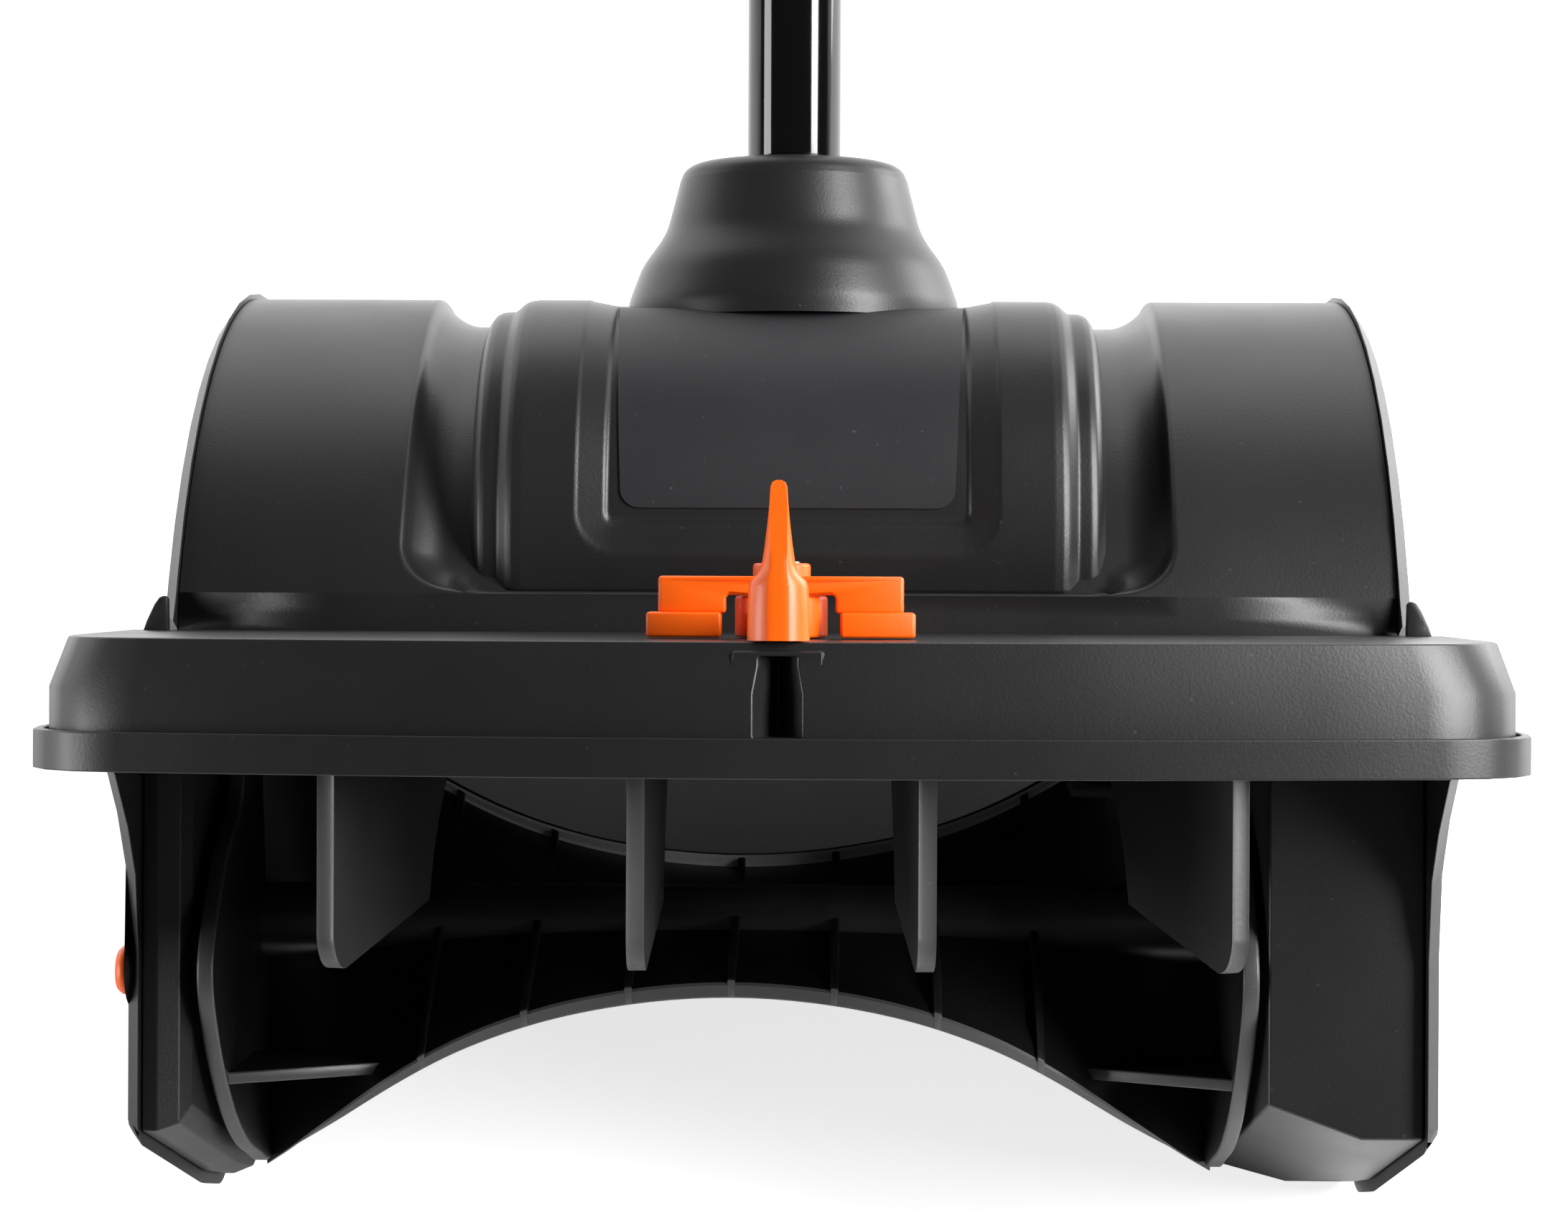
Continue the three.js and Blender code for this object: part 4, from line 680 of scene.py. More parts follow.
class SNOWSHOVEL_OT_cover(Step, bpy.types.Operator):
    """Shapes the motor cover, with stepped ends and a sloping recess, and its bare label film"""

    bl_idname = "snowshovel.cover"
    bl_label = "Motor cover"

    half = 0.0789
    wall = 0.0022
    foot = 0.0822
    crest_back = 0.0895
    below_axis = 0.30
    recess_half = 0.0525
    recess_foot = 0.0936
    recess_corner = 0.010
    lip_depth, lip_width = 0.00025, 0.0005
    pocket_depth, pocket_width = 0.0008, 0.0006
    film_wall = 0.0003
    film_foot = 0.1046
    film_corner = 0.0045
    film_low_half, film_high_half = 0.0412, 0.0452
    foot_steps = ((0.0031, 0.0702, 0.0716), (0.0024, 0.0765, half))
    foot_turn, foot_turn_reach = 0.0016, 0.0022
    recess_end = 0.02
    across = ((0.043, 0.004), (0.054, 0.0005), (0.0655, 0.002), (half, 0.00045))
    around = ((0.003, 0.0004), (0.0325, 0.0009), (0.1, 0.002))
    end_shares = ((0.0, 0.0), (0.0660, 0.0), (0.0682, 0.0003), (0.0696, 0.0010), (0.0720, 0.0031),
                  (0.0752, 0.0033), (0.0768, 0.0040), (0.0780, 0.0056), (0.0789, 0.0080))

    def build(self, scene):
        sizes = scene.snowshovel_head
        arc_length = barrel_radius * (math.pi / 2 + self.below_axis)
        flat_length = self.crest_back - barrel_axis.y
        rear_fall = 0.004
        along = stations(0, *self.around, (arc_length + flat_length + rear_fall, 0.002))
        obj = mapped_grid("motor_cover_skin", mirrored(stations(0, *self.across)), along,
                          lambda x, place: self.on_cover(x, place, arc_length, flat_length, sizes))
        turn_outwards(obj)
        thicken(obj, self.wall)
        smooth(obj, 40)
        seat(obj)
        finish(obj, "motor_cover", "shell")
        self.label(sizes)

    def end_drop(self, x):
        """How far the cover's stepped ends lie below its crown."""
        for (near, low), (far, high) in zip(self.end_shares, self.end_shares[1:]):
            if x <= far:
                return low + (high - low) * (x - near) / (far - near)
        return self.end_shares[-1][1]

    def recess(self, depth, sizes):
        """A crisp lip, a broad slope, then the pocket that holds the label."""
        slope_depth = sizes.recess_depth - self.lip_depth - self.pocket_depth
        return (self.lip_depth * unit(depth / self.lip_width)
                + slope_depth * unit(depth / sizes.recess_slope)
                + self.pocket_depth * unit((depth - sizes.recess_slope) / self.pocket_width))

    def on_cover(self, x, along, arc_length, flat_length, sizes):
        """A point of the cover: up around the barrel, back along the flat, then down its rear."""
        drop = self.end_drop(abs(x))
        foot_lift = sum(rise * ramp(abs(x), near, far) for rise, near, far in self.foot_steps)
        if along < arc_length:
            turn = along / barrel_radius - self.below_axis
            height = barrel_axis.z + barrel_radius * math.sin(turn)
            drop += self.recess(inside_corner(self.recess_half - abs(x), height - self.recess_foot,
                                              self.recess_corner), sizes)
            drop += self.foot_turn * (1 - ramp(along, 0, self.foot_turn_reach))
            radius = barrel_radius - drop
            low = (self.foot + foot_lift - barrel_axis.z) / radius
            return on_arc(x, barrel_axis, radius, max(turn, math.asin(min(0.9, low))))
        flat = min(along - arc_length, flat_length)
        fall = max(0.0, along - arc_length - flat_length)
        fade = ramp(self.recess_end - flat, 0, self.recess_end)
        drop += self.recess(self.recess_half - abs(x), sizes) * fade
        return Vector((x, barrel_axis.y + flat, barrel_axis.z + barrel_radius - drop - fall))

    def label(self, sizes):
        """Bare film in the pocket, from its rounded lower corners up over the crest."""
        reach = barrel_radius - sizes.recess_depth + 0.0005
        start = math.asin((self.film_foot - barrel_axis.z) / reach)
        bend = reach * (math.pi / 2 - start)
        corner = self.film_corner

        def place(u, along):
            half = (self.film_low_half
                    + (self.film_high_half - self.film_low_half) * min(1.0, along / bend))
            if along < corner:
                half -= corner - math.sqrt(corner ** 2 - (corner - along) ** 2)
            turn = min(math.pi / 2, start + along / reach)
            return (on_arc(u * half, barrel_axis, reach, turn)
                    + Vector((0, max(0.0, along - bend), 0)))

        along = stations(0, (0.0006, 0.0002), (corner, 0.0005), (bend, 0.002),
                         (bend + 0.003, 0.001))
        film = mapped_grid("label_film", stations(-1, (1, 0.05)), along, place)
        thicken(film, self.film_wall)
        smooth(film, 40)
        seat(film)
        finish(film, "label_panel", "label")


class SNOWSHOVEL_OT_tray(Step, bpy.types.Operator):
    """Softens the hood tray and adds the fins at its rear ends"""

    bl_idname = "snowshovel.tray"
    bl_label = "Hood tray"

    fin_front = -0.0392
    fin_thick = 0.0028
    fin = ((0.1562, 0.0736), (0.1553, 0.0762), (0.1534, 0.0803), (0.1522, 0.0820),
           (0.1510, 0.0825), (0.1501, 0.0818), (0.1499, 0.0736))

    def build(self, scene):
        edge = scene.snowshovel_head.tray_edge
        moulding("hood_tray", "shell", edge, 3, 30, 34)
        for side, name in ((-1, "left_fin"), (1, "right_fin")):
            outline = [(side * x, self.fin_front, z) for x, z in self.fin]
            fin = prism(name, outline, (0, self.fin_thick, 0))
            soften(fin, 0.0005, 2, 40)
            smooth(fin)
            seat(fin)
            finish(fin, "hood_tray", "shell", [])


class SNOWSHOVEL_OT_rotor(Step, bpy.types.Operator):
    """Shapes the rotor: two swept blades with ribs and shelves, two end plates and the hub"""

    bl_idname = "snowshovel.rotor"
    bl_label = "Rotor"

    # Blade edge: share of the half length from the middle, then Y and Z as shares of the sweep
    edge_shares = ((0, -0.575, -0.155), (0.2, -0.575, -0.18), (0.4, -0.62, -0.245),
                   (0.6, -0.61, -0.38), (0.71, -0.54, -0.51), (0.8, -0.405, -0.61),
                   (0.87, -0.16, -0.715), (0.965, 0.12, -0.83))
    # End plate: degrees around the axis, then the reach as a share of the sweep
    end_shares = ((182, 1), (198, 0.935), (220, 0.83), (242, 0.785), (262, 0.79), (280, 0.85),
                  (300, 0.77), (318, 0.65), (340, 0.8))
    sweep = 0.074
    end_thick = 0.004
    blade_thick = 0.0034
    hub = 0.0095
    ribs = 7
    rib_gap = 0.0249
    rib_half = 0.001
    rib_rows = 14
    rib_height = 0.0032
    rib_fall, rib_fall_reach = 0.75, 0.012
    rib_sunk = 0.0045
    # Shelf: how far back and down it lies as shares of the sweep, its length and its two depths
    shelf_back, shelf_down = 0.36, 0.42
    shelf_length, shelf_thick, shelf_front = 0.034, 0.003, 0.012
    shelf_near, shelf_far = 0.36, 0.1
    into_plate = 0.001
    lip = 0.0021
    lip_face = 0.0026
    outer_face = 0.001

    def build(self, scene):
        edge = scene.snowshovel_head.rotor_edge
        low, high = (head.inverted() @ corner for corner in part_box("rotor"))
        self.middle = (low.x + high.x) / 2
        self.half = (high.x - low.x) / 2
        half_turn = [self.blade()]
        half_turn += [self.rib(number, edge) for number in range(self.ribs)]
        half_turn += [self.shelf(side, edge) for side in (-1, 1)]
        one = join_pieces("rotor_half", half_turn)
        other = bpy.data.objects.new("rotor_other_half", one.data.copy())
        bpy.context.scene.collection.objects.link(other)
        other.matrix_world = Matrix.Rotation(math.pi, 4, "X")
        bake_place(other)
        left, right = self.middle - self.half, self.middle + self.half
        hub = rod("rotor_hub", self.hub, (left + self.into_plate, 0, 0),
                  (right - self.into_plate, 0, 0), 64)
        smooth(hub)
        plates = [self.end_plate(start, edge) for start in (left, right - self.end_thick)]
        rotor = join_pieces("rotor_moulding", [one, other, hub] + plates)
        seat(rotor)
        finish(rotor, "rotor", "rotor")
        self.rub(rotor)

    def rub(self, rotor):
        """Paints a lighter sheen on the rims of the end plates and the blades' outer faces, and a
        pale highlight on the blades' lips, in place of the light they catch.
        """
        for material in ("rubbed", "lip"):
            rotor.data.materials.append(finishes[material])
        rubbed, lip = 1, 2
        to_head = head.inverted()
        for face in rotor.data.polygons:
            place = to_head @ face.center
            arm = Vector((0, place.y, place.z))
            facing = (to_head.to_3x3() @ face.normal).dot(arm.normalized())
            on_blades = abs(place.x - self.middle) < self.half - self.end_thick
            short = self.edge_at(place.x).length - arm.length
            # Faces near the blade's edge get the painted sheen, and the lip faces the pale painted
            # highlight.
            if on_blades and short < self.lip_face and abs(facing) > 0.5:
                face.material_index = rubbed if short < self.outer_face else lip
            elif not on_blades and facing > 0.5:
                face.material_index = rubbed

    def edge_line(self, share):
        size = abs(share)
        index = 0
        while index + 2 < len(self.edge_shares) and self.edge_shares[index + 1][0] < size:
            index += 1
        start, end = self.edge_shares[index], self.edge_shares[index + 1]
        mix = (size - start[0]) / (end[0] - start[0])
        return Vector((0, *start[1:])).lerp(Vector((0, *end[1:])), mix) * self.sweep

    def edge_at(self, x):
        """The blade's outer edge at a place across, averaged over its neighbours."""
        share = (x - self.middle) / (self.half - self.end_thick / 2)
        taps = (-0.08, -0.04, 0.0, 0.04, 0.08)
        return sum((self.edge_line(share + tap) for tap in taps), Vector()) / len(taps)

    def on_blade(self, x, reach, rise):
        """A point at a reach from the axis towards the blade's edge and a rise off its middle."""
        edge = self.edge_at(x)
        along = edge.normalized()
        out = Vector((0, along.z, -along.y))
        past_edge = reach - edge.length if reach > 0 else reach
        return Vector((x, 0, 0)) + edge + along * past_edge + out * rise

    def blade(self):
        """The section is a ring of reaches, as shares or as metres short of the edge, and rises."""
        inner = self.half - self.end_thick / 2
        thick = self.blade_thick / 2
        lip = self.lip
        ring = [(0.0, 0.0006), (0.5, 0.0006), (-lip - 0.0006, 0.0006), (-lip, 0.0),
                (-lip, -0.0017), (-lip + 0.0004, -0.0023), (-0.0005, -0.0023), (-0.0001, -0.0018),
                (-0.0001, thick - 0.0006), (-0.0006, thick), (0.5, thick), (0.0, thick),
                (0.0, 0.0006)]
        across = stations(self.middle - inner, (self.middle + inner, 0.0025))

        def place(x, corner):
            reach, rise = ring[corner]
            length = self.edge_at(x).length
            if reach < 0:
                return self.on_blade(x, length + reach, rise)
            return self.on_blade(x, max(0.0001, reach * length), rise)

        obj = close_seam(mapped_grid("rotor_blade", across, list(range(len(ring))), place))
        smooth(obj, 30)
        return obj

    def rib(self, number, edge):
        x = self.middle + (number - self.ribs // 2) * self.rib_gap
        thick = self.blade_thick / 2
        obj = start_piece("rotor_rib", bpy.ops.mesh.primitive_grid_add, x_subdivisions=1,
                          y_subdivisions=self.rib_rows, size=2)
        for vertex in obj.data.vertices:
            length = self.edge_at(x).length
            reach = length * (0.02 + 0.98 * (vertex.co.y + 1) / 2)
            fall = self.rib_fall * ramp(reach, length - self.rib_fall_reach, length)
            height = thick + self.rib_height * (1 - fall)
            vertex.co = self.on_blade(x + vertex.co.x * self.rib_half, reach, height)
        edit(obj)
        bpy.ops.mesh.extrude_region_move()
        leave_edit()
        down = self.on_blade(x, 0.04, 0) - self.on_blade(x, 0.04, self.rib_sunk)
        for vertex in obj.data.vertices:
            if vertex.select:
                vertex.co += down
        turn_outwards(obj)
        soften(obj, edge * 0.8, 2, 50)
        smooth(obj)
        return obj

    def shelf(self, side, edge):
        wall = self.middle + side * (self.half - self.end_thick)
        y, z = -self.sweep * self.shelf_back, -self.sweep * self.shelf_down
        near, far = wall + side * self.into_plate, wall - side * self.shelf_length
        outline = [(near, y - self.shelf_near * self.sweep, z),
                   (far, y - self.shelf_far * self.sweep, z),
                   (far, y + self.shelf_front, z), (near, y + self.shelf_front, z)]
        obj = prism("rotor_shelf", outline, (0, 0, -self.shelf_thick))
        soften(obj, edge, 2, 40)
        smooth(obj)
        return obj

    def end_plate(self, start, edge):
        """A plate whose outline is a smooth curve through its marks."""
        marks = []
        for half in (0, 180):
            for turn, share in self.end_shares:
                turn = math.radians(turn + half)
                marks.append(Vector((start, share * self.sweep * math.cos(turn),
                                     share * self.sweep * math.sin(turn))))
        outline = []
        for index in range(len(marks)):
            a, b, c, d = (marks[(index + step) % len(marks)] for step in (-1, 0, 1, 2))
            for part in range(8):
                t = part / 8
                outline.append(0.5 * (2 * b + (c - a) * t + (2 * a - 5 * b + 4 * c - d) * t ** 2
                                      + (3 * b - a - 3 * c + d) * t ** 3))
        obj = prism("rotor_end", outline, (self.end_thick, 0, 0))
        soften(obj, edge * 1.6, 3, 50)
        smooth(obj)
        return obj


class SNOWSHOVEL_OT_vanes(Step, bpy.types.Operator):
    """Softens the four steering vanes"""

    bl_idname = "snowshovel.vanes"
    bl_label = "Vanes"

    tip_height = 0.006
    tip_round = 0.0032
    groove_rim = 0.0010
    groove_depth = 0.0004
    groove_top = 0.05

    def build(self, scene):
        for number in range(1, 5):
            self.vane("vane_%d" % number, scene.snowshovel_head.vane_edge)

    def vane(self, node, edge):
        """Rounds the tip, sinks the front inside a narrow rim and paints a sheen on the front faces
        in place of their highlight.
        """
        vane = to_head_frame(cad_copy(node, node + "_moulding"))
        tip = min(v.co.z for v in vane.data.vertices)
        edit(vane, None, lambda place, way:
             abs(way.x) > 0.8 * way.length and place.z < tip + self.tip_height)
        bpy.ops.mesh.bevel(offset=self.tip_round, segments=4, profile=0.5)
        leave_edit()
        edit(vane, lambda place, normal: normal.y < -0.6 and place.z < self.groove_top)
        bpy.ops.mesh.inset(thickness=self.groove_rim)
        bpy.ops.transform.translate(value=(0, self.groove_depth, 0))
        leave_edit()
        soften(vane, edge * 0.6, 2, 34)
        smooth(vane, 36)
        level_normals(vane)
        seat(vane)
        finish(vane, node, "vane")
        # The vane fronts get a painted sheen: a lighter colour in place of the highlight they
        # catch.
        vane.data.materials.append(finishes["rubbed"])
        front = head.to_3x3() @ Vector((0, -1, 0))
        for face in vane.data.polygons:
            if face.normal.dot(front) > 0.45:
                face.material_index = 1


class SNOWSHOVEL_OT_lever(Step, bpy.types.Operator):
    """Shapes the steering lever: ridged tab, boss, drum, swept wings and their feet"""

    bl_idname = "snowshovel.lever"
    bl_label = "Steering lever"

    foot = 0.0743
    wing_shear = 0.131
    wing_front, wing_thick = -0.0095, 0.0040
    foot_front, foot_back, foot_top = -0.0118, -0.0050, 0.0800
    foot_inner, foot_outer = 0.0132, 0.0300
    drum_radius, drum_top = 0.0104, 0.0836
    boss_radius, boss_back, boss_top = 0.0065, 0.003, 0.0909
    arm_half, arm_back, arm_top = 0.0052, -0.006, 0.0812
    tab_front = -0.138
    ridge = 0.0019
    ridge_side = 0.26
    # Tab: height, half width, and depth as a share
    tab_rings = ((foot, 0.0067, 1.0), (0.0800, 0.0066, 1.0), (0.0858, 0.0064, 0.98),
                 (0.0870, 0.0060, 0.95), (0.0884, 0.0046, 0.85), (0.0896, 0.0039, 0.79),
                 (0.0912, 0.0035, 0.74), (0.0944, 0.0030, 0.68), (0.0995, 0.0024, 0.6),
                 (0.1038, 0.0020, 0.54), (0.1072, 0.0018, 0.48), (0.1082, 0.0014, 0.42),
                 (0.1086, 0.0006, 0.3))
    # Tab section: shares of the half width, and of the way from front to back
    tab_section = ((-1.0, 1.0), (-1.0, 0.52), (-0.9, 0.36), (-0.72, 0.2), (-0.52, 0.09),
                   (-0.36, 0.03), (-0.26, 0.0), (-0.1, 0.0), (0.1, 0.0), (0.26, 0.0),
                   (0.36, 0.03), (0.52, 0.09), (0.72, 0.2), (0.9, 0.36), (1.0, 0.52), (1.0, 1.0),
                   (0.5, 1.0), (-0.5, 1.0), (-1.0, 1.0))
    wing = ((0.0, 0.0880), (0.0274, 0.0880), (0.0274, 0.0797), (0.0122, 0.0797), (0.0122, 0.0838),
            (0.0, 0.0838), (-0.0122, 0.0838), (-0.0122, 0.0797), (-0.0274, 0.0797),
            (-0.0274, 0.0880))

    def build(self, scene):
        edge = scene.snowshovel_head.lever_edge
        low, high = (head.inverted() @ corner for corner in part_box("lever_screw"))
        pivot = (low.y + high.y) / 2 - 0.003
        foot = self.foot
        wings = prism("lever_wings", [(x, pivot + self.wing_front, z) for x, z in self.wing],
                      (0, self.wing_thick, 0))
        feet = [block("lever_foot", (left, pivot + self.foot_front, foot),
                      (right, pivot + self.foot_back, self.foot_top))
                for left, right in ((self.foot_inner, self.foot_outer),
                                    (-self.foot_outer, -self.foot_inner))]
        for piece in [wings] + feet:
            for vertex in piece.data.vertices:
                vertex.co.y += self.wing_shear * abs(vertex.co.x)
        drum = rod("lever_drum", self.drum_radius, (0, pivot, foot), (0, pivot, self.drum_top), 64)
        boss_y = pivot + self.boss_back
        boss = rod("lever_boss", self.boss_radius, (0, boss_y, foot), (0, boss_y, self.boss_top),
                   64)
        arm = block("lever_arm", (-self.arm_half, self.tab_front + 0.001, foot),
                    (self.arm_half, pivot + self.arm_back, self.arm_top))
        body = join_pieces("lever_body", [wings, drum, boss, arm] + feet)
        soften(body, edge, 3, 40)
        smooth(body)
        tab = close_seam(mapped_grid("lever_tab", list(self.tab_section), list(self.tab_rings),
                                     self.on_tab))
        smooth(tab, 42)
        lever = join_pieces("lever_moulding", [body, tab])
        seat(lever)
        finish(lever, "steering_lever", "accent")

    def on_tab(self, corner, ring):
        """A point of the tab, whose front keeps a ridge of one width where it has room."""
        side, back = corner
        height, half, depth = ring
        ridge = min(self.ridge, half * 0.9)
        if abs(side) <= self.ridge_side:
            x = side / self.ridge_side * ridge
        else:
            past = (abs(side) - self.ridge_side) / (1 - self.ridge_side)
            x = math.copysign(ridge + (half - ridge) * past, side)
        return Vector((x, self.tab_front + (0.0092 * back - 0.0022) * depth, height))


class SNOWSHOVEL_OT_neck(Step, bpy.types.Operator):
    """Turns the neck boot from the CAD's rims, with rounded shoulders"""

    bl_idname = "snowshovel.neck"
    bl_label = "Neck boot"

    sides = 128
    corner = 0.0028
    collar = 0.0130
    collar_drop = 0.004
    skirt = 0.0042

    def build(self, scene):
        corners = [head.inverted() @ v.co for v in frame["nodes"]["neck_boot"].data.vertices]
        rim = {}
        for corner in corners:
            height = round(corner.z, 5)
            rim[height] = max(rim.get(height, 0), math.hypot(corner.x, corner.y - shaft_y))
        marks = [(rim[height], height) for height in sorted(rim)]
        outline = self.round_off([(marks[0][0], marks[0][1] - self.skirt)] + marks)
        turns = [2 * math.pi * step / self.sides for step in range(self.sides + 1)]

        def place(turn, mark):
            radius, height = mark
            return Vector((radius * math.cos(turn), shaft_y + radius * math.sin(turn), height))

        boot = close_seam(mapped_grid("neck_boot_moulding", turns, outline, place))
        smooth(boot, 40)
        seat(boot)
        finish(boot, "neck_boot", "shell")

    def round_off(self, marks):
        """The boot's outline with rounded corners and its top turned in to the tube."""
        top = marks[-1][1]
        marks = marks + [(self.collar, top), (self.collar, top - self.collar_drop)]
        outline = [marks[0]]
        for trio in zip(marks, marks[1:], marks[2:]):
            before, mark, after = map(Vector, trio)
            start, end = (
                mark.lerp(other, min(0.45, self.corner / max(1e-6, (other - mark).length)))
                for other in (before, after))
            for step in range(5):
                t = step / 4
                outline.append(tuple(start * (1 - t) ** 2 + mark * 2 * t * (1 - t) + end * t ** 2))
        return outline + [marks[-1]]


# Shaft and handles

class SNOWSHOVEL_OT_shaft(Step, bpy.types.Operator):
    """Draws both tubes round"""

    bl_idname = "snowshovel.shaft"
    bl_label = "Shaft"

    def build(self, scene):
        sizes = scene.snowshovel_handles
        for node in ("lower_shaft", "upper_shaft"):
            corners = [head.inverted() @ v.co for v in frame["nodes"][node].data.vertices]
            foot = min(c.z for c in corners)
            top = max(c.z for c in corners)
            tube = rod(node + "_tube", sizes.tube_radius, (0, shaft_y, foot), (0, shaft_y, top),
                       96, True)
            thicken(tube, sizes.tube_wall)
            soften(tube, 0.0004, 2, 50)
            smooth(tube)
            seat(tube)
            finish(tube, node, "tube")


class SNOWSHOVEL_OT_handles(Step, bpy.types.Operator):
    """Softens the coupler, both handles with their controls, and the battery"""

    bl_idname = "snowshovel.handles"
    bl_label = "Handles"

    # Node, finish, share of the handles' edge, then segments and angles where they differ
    rows = (
        ("shaft_coupler", "dark", 0.7, 3),
        ("front_clamp", "dark", 0.7, 3),
        ("front_handle", "dark", 0.3, 2, 44, 50),
        ("front_grip", "rubber", 0.3, 2, 44, 50),
        ("front_knob", "accent", 0.5, 3, 34, 40),
        ("handle_left", "shell", 0.4, 2, 40, 44),
        ("handle_right", "shell", 0.4, 2, 40, 44),
        ("trigger", "accent", 0.5, 3),
        ("lock_button", "accent", 0.3, 2),
        ("battery_rail", "dark", 0.3, 2),
        ("battery_pack", "dark", 0.6, 3),
        ("battery_latch", "accent", 0.4, 2),
    )

    def build(self, scene):
        edge = scene.snowshovel_handles.handle_edge
        for node, material, share, *softness in self.rows:
            moulding(node, material, edge * share, *softness)


class SNOWSHOVEL_OT_screws(Step, bpy.types.Operator):
    """Models one screw head and sets a copy at each screw in the side plates"""

    bl_idname = "snowshovel.screws"
    bl_label = "Screws"

    rim_share, socket_share, draft = 0.42, 0.5, 0.92
    edge_share = 0.22

    def build(self, scene):
        for node in sorted(frame["nodes"]):
            if not node.startswith("screw_"):
                continue
            low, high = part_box(node)
            middle = (low + high) / 2
            radius = (high.y - low.y) / 2
            depth = high.x - low.x
            side = -1 if middle.x < 0 else 1
            screw = bake_place(start_piece(node + "_head", bpy.ops.mesh.primitive_cylinder_add,
                                           vertices=24, radius=radius, depth=depth))
            soften(screw, depth * self.edge_share, 2, 50)
            edit(screw, lambda c, n, d=depth: n.z > 0.99 and c.z > d * 0.45)
            bpy.ops.mesh.inset(thickness=radius * self.rim_share)
            down = (0, 0, -depth * self.socket_share)
            bpy.ops.mesh.extrude_region_move(TRANSFORM_OT_translate={"value": down})
            bpy.ops.transform.resize(value=(self.draft, self.draft, 1))
            leave_edit()
            smooth(screw, 40)
            turn = Matrix.Rotation(math.radians(90 * side), 4, "Y")
            screw.matrix_world = Matrix.Translation(middle) @ turn
            bake_place(screw)
            finish(screw, node, "steel")


class SNOWSHOVEL_OT_inner_parts(Step, bpy.types.Operator):
    """Gives every CAD node that stays its finish"""

    bl_idname = "snowshovel.inner_parts"
    bl_label = "Inner parts"

    def build(self, scene):
        by_slot = {"shell_plastic": "shell", "dark_plastic": "dark", "orange_plastic": "accent",
                   "black_paint": "tube", "label_film": "label", "grip_rubber": "rubber",
                   "cable_rubber": "rubber"}
        for node, obj in frame["nodes"].items():
            if obj.hide_render:
                continue
            slot = slot_of(node)
            obj.data.materials.clear()
            obj.data.materials.append(finishes[by_slot.get(slot, "steel")])


# Finishes and stage

class SNOWSHOVEL_OT_finishes(Step, bpy.types.Operator):
    """Makes the shared effects and the finishes of the snow shovel"""

    bl_idname = "snowshovel.finishes"
    bl_label = "Finishes"

    def build(self, scene):
        colours = scene.snowshovel_colours
        effects.update(moulded_grain=grain_group(), edge_wear=wear_and_highlight_group(),
                       dust_specks=dust_group())
        vane = lighter(colours.dark, 1.3)[:3]
        rows = (
            ("shell", "shell_plastic", colours.shell, (0.36, 0.44), 1500.0, 0.00004),
            ("dark", "dark_plastic", colours.dark, (0.36, 0.48), 1700.0, 0.00004),
            ("rotor", "rotor_plastic", colours.dark, (0.3, 0.42), 900.0, 0.00003, 0.7, 5.0),
            ("vane", "vane_plastic", vane, (0.38, 0.5), 1700.0, 0.00004, 0.4, 3.0),
            # Painted sheen for the rotor's rims, blade edges and vane fronts, in place of their
            # highlights.
            ("rubbed", "rubbed_plastic", colours.rubbed, (0.34, 0.46), 700.0, 0.00005, 0.5, 2.2,
             0.2, 0.25),
            # Painted highlight for the blades' lips, in place of the light they reflect.
            ("lip", "worn_lip", colours.lip, (0.4, 0.52), 700.0, 0.00006, 0.5, 1.6, 0.2, 0.1),
            ("accent", "accent_plastic", colours.accent, (0.34, 0.44), 1500.0, 0.00003, 0.15, 1.1,
             0.0, 0.05),
            ("tube", "tube_paint", colours.tube, (0.07, 0.1), 700.0, 0.000002, 0.1, 2.0, 0.1, 0.05),
            ("label", "label_film", colours.label, (0.5, 0.6), 2600.0, 0.00004, 0.1, 1.4, 0.5, 0.1),
            ("rubber", "grip_rubber", colours.dark, (0.6, 0.75), 800.0, 0.00012, 0.2, 2.0, 0.2,
             0.1),
        )
        for finish_name, *values in rows:
            finishes[finish_name] = moulded(*values)
        finishes["steel"] = turned_steel("machined_steel", (0.45, 0.46, 0.48), 0.3)


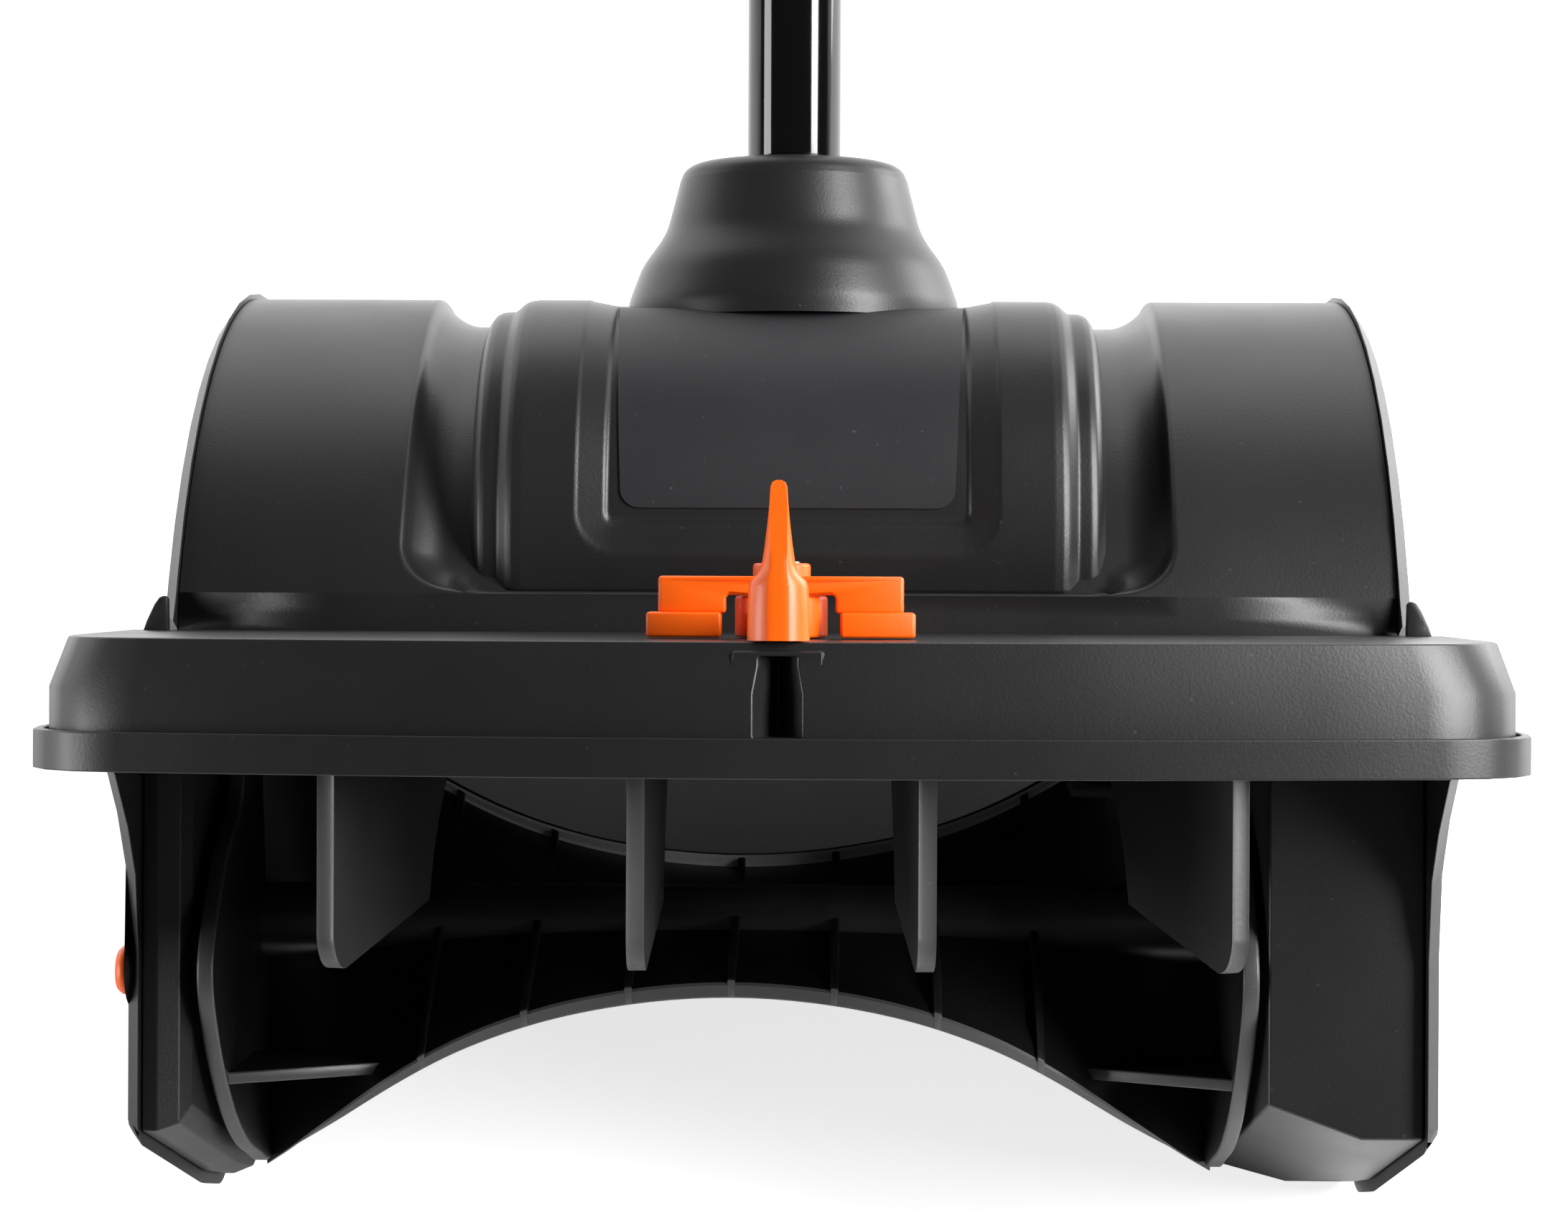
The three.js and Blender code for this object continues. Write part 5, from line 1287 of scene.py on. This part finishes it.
class SNOWSHOVEL_OT_stage(Step, bpy.types.Operator):
    """Lays the floor, hangs the lamps and sets up the camera"""

    bl_idname = "snowshovel.stage"
    bl_label = "Stage"

    # Name, place in the head's frame, watts, width and height
    lamps = (
        ("key_lamp", (0.86, -0.64, 0.45), 27, 0.36, 0.95),
        ("rear_right_lamp", (0.95, 0.43, 0.50), 7, 0.4, 0.6),
        ("left_lamp", (-1.05, -0.36, -0.05), 7, 0.4, 0.6),
    )
    camera_place = (0.014, -0.875, 0.090)
    yaw = 0.0155
    roll = math.radians(0.27)
    floor_glow = 0.76
    front_level = 0.08
    rear_level = 1.9

    def build(self, scene):
        self.floor()
        self.sky(scene)
        for row in self.lamps:
            self.lamp(*row)
        self.camera(scene)
        scene.view_settings.view_transform = "Standard"

    def floor(self):
        """White paper that also glows in reflections, more towards the rear."""
        obj = start_piece("floor", bpy.ops.mesh.primitive_plane_add, size=24)
        material, tree, shader = base_material("floor_paper")
        set_inputs(shader, {"Base Color": (0.8, 0.8, 0.8, 1), "Roughness": 0.9,
                            "Specular IOR Level": 0.0})
        path = add_node(tree, "LightPath")
        place = add_node(tree, "TexCoord")
        parts = add_node(tree, "SeparateXYZ")
        level = add_node(tree, "MapRange", From_Min=-0.1, From_Max=0.25, To_Min=0.0,
                         To_Max=self.rear_level * 0.7)
        reflected = add_node(tree, "Math", "MULTIPLY")
        gain = add_node(tree, "Math", "MULTIPLY_ADD")
        gain.inputs[1].default_value = self.floor_glow
        glow = add_node(tree, "Emission")
        add = add_node(tree, "AddShader")
        wire(tree,
             (place, "Object", parts, 0), (parts, "Y", level, "Value"),
             (level, "Result", reflected, 0), (path, "Is Glossy Ray", reflected, 1),
             (path, "Is Camera Ray", gain, 0), (reflected, 0, gain, 2),
             (gain, 0, glow, "Strength"), (shader, 0, add, 0), (glow, 0, add, 1),
             (add, 0, tree.nodes["Material Output"], "Surface"))
        obj.data.materials.append(material)

    def sky(self, scene):
        """White to the camera; to surfaces a bright wall behind the head and a dim room."""
        world = bpy.data.worlds.new("studio")
        scene.world = world
        world.use_nodes = True
        tree = world.node_tree
        air = set_inputs(tree.nodes["Background"], {"Color": (1, 1, 1, 1)})
        way = add_node(tree, "TexCoord")
        rear = add_node(tree, "VectorMath", "DOT_PRODUCT")
        rear.inputs[1].default_value = head.to_3x3() @ Vector((0, 1, 0))
        wall = add_node(tree, "MapRange", From_Min=-0.06, From_Max=0.12,
                        To_Min=self.front_level, To_Max=self.rear_level)
        path = add_node(tree, "LightPath")
        seen = add_node(tree, "Math", "MAXIMUM")
        level = add_node(tree, "Mix", B=1.0)
        wire(tree,
             (way, "Generated", rear, 0), (rear, "Value", wall, "Value"),
             (path, "Is Camera Ray", seen, 0), (path, "Is Transmission Ray", seen, 1),
             (seen, 0, level, "Factor"), (wall, "Result", level, "A"),
             (level, "Result", air, "Strength"))

    def lamp(self, name, place, power, width, height):
        data = bpy.data.lights.new(name, "AREA")
        data.energy = power
        data.shape = "RECTANGLE"
        data.size = width
        data.size_y = height
        obj = bpy.data.objects.new(name, data)
        bpy.context.scene.collection.objects.link(obj)
        aim = Vector((0, 0, 0.12)) - Vector(place)
        turn = aim.to_track_quat("-Z", "Y").to_matrix().to_4x4()
        obj.matrix_world = head @ Matrix.Translation(place) @ turn

    def camera(self, scene):
        yaw, roll = self.yaw, self.roll
        right = Vector((math.cos(yaw), math.sin(yaw), 0))
        up = Vector((0, 0, 1))
        back = Vector((math.sin(yaw), -math.cos(yaw), 0))
        tilted_up = up * math.cos(roll) - right * math.sin(roll)
        tilted_right = right * math.cos(roll) + up * math.sin(roll)
        turn = Matrix((tilted_right, tilted_up, back)).transposed().to_4x4()
        data = bpy.data.cameras.new("photo_camera")
        data.sensor_width = 36
        data.lens = 79.3
        data.shift_x = -0.0041
        data.shift_y = -0.0266
        data.clip_end = 50
        obj = bpy.data.objects.new("photo_camera", data)
        scene.collection.objects.link(obj)
        obj.matrix_world = head @ Matrix.Translation(self.camera_place) @ turn
        scene.camera = obj


class SNOWSHOVEL_PT_panel(bpy.types.Panel):
    """Lists the steps of the snow shovel's dressing"""

    bl_label = "Snow shovel"
    bl_space_type = "VIEW_3D"
    bl_region_type = "UI"
    bl_category = "Snow shovel"

    def draw(self, context):
        for step in steps:
            self.layout.operator(step.bl_idname)
        for settings in (context.scene.snowshovel_head, context.scene.snowshovel_handles,
                         context.scene.snowshovel_colours):
            for name in settings.__annotations__:
                self.layout.prop(settings, name)


steps = (
    SNOWSHOVEL_OT_finishes,
    SNOWSHOVEL_OT_housing,
    SNOWSHOVEL_OT_sides,
    SNOWSHOVEL_OT_cover,
    SNOWSHOVEL_OT_tray,
    SNOWSHOVEL_OT_rotor,
    SNOWSHOVEL_OT_vanes,
    SNOWSHOVEL_OT_lever,
    SNOWSHOVEL_OT_neck,
    SNOWSHOVEL_OT_shaft,
    SNOWSHOVEL_OT_handles,
    SNOWSHOVEL_OT_screws,
    SNOWSHOVEL_OT_inner_parts,
    SNOWSHOVEL_OT_stage,
)
classes = (HeadSettings, HandleSettings, ColourSettings) + steps + (SNOWSHOVEL_PT_panel,)


def register():
    for item in classes:
        bpy.utils.register_class(item)
    bpy.types.Scene.snowshovel_head = bpy.props.PointerProperty(type=HeadSettings)
    bpy.types.Scene.snowshovel_handles = bpy.props.PointerProperty(type=HandleSettings)
    bpy.types.Scene.snowshovel_colours = bpy.props.PointerProperty(type=ColourSettings)


def unregister():
    del bpy.types.Scene.snowshovel_colours
    del bpy.types.Scene.snowshovel_handles
    del bpy.types.Scene.snowshovel_head
    for item in reversed(classes):
        bpy.utils.unregister_class(item)


def main():
    register()
    for step in steps:
        group, name = step.bl_idname.split(".")
        getattr(getattr(bpy.ops, group), name)()


if __name__ == "__main__":
    main()
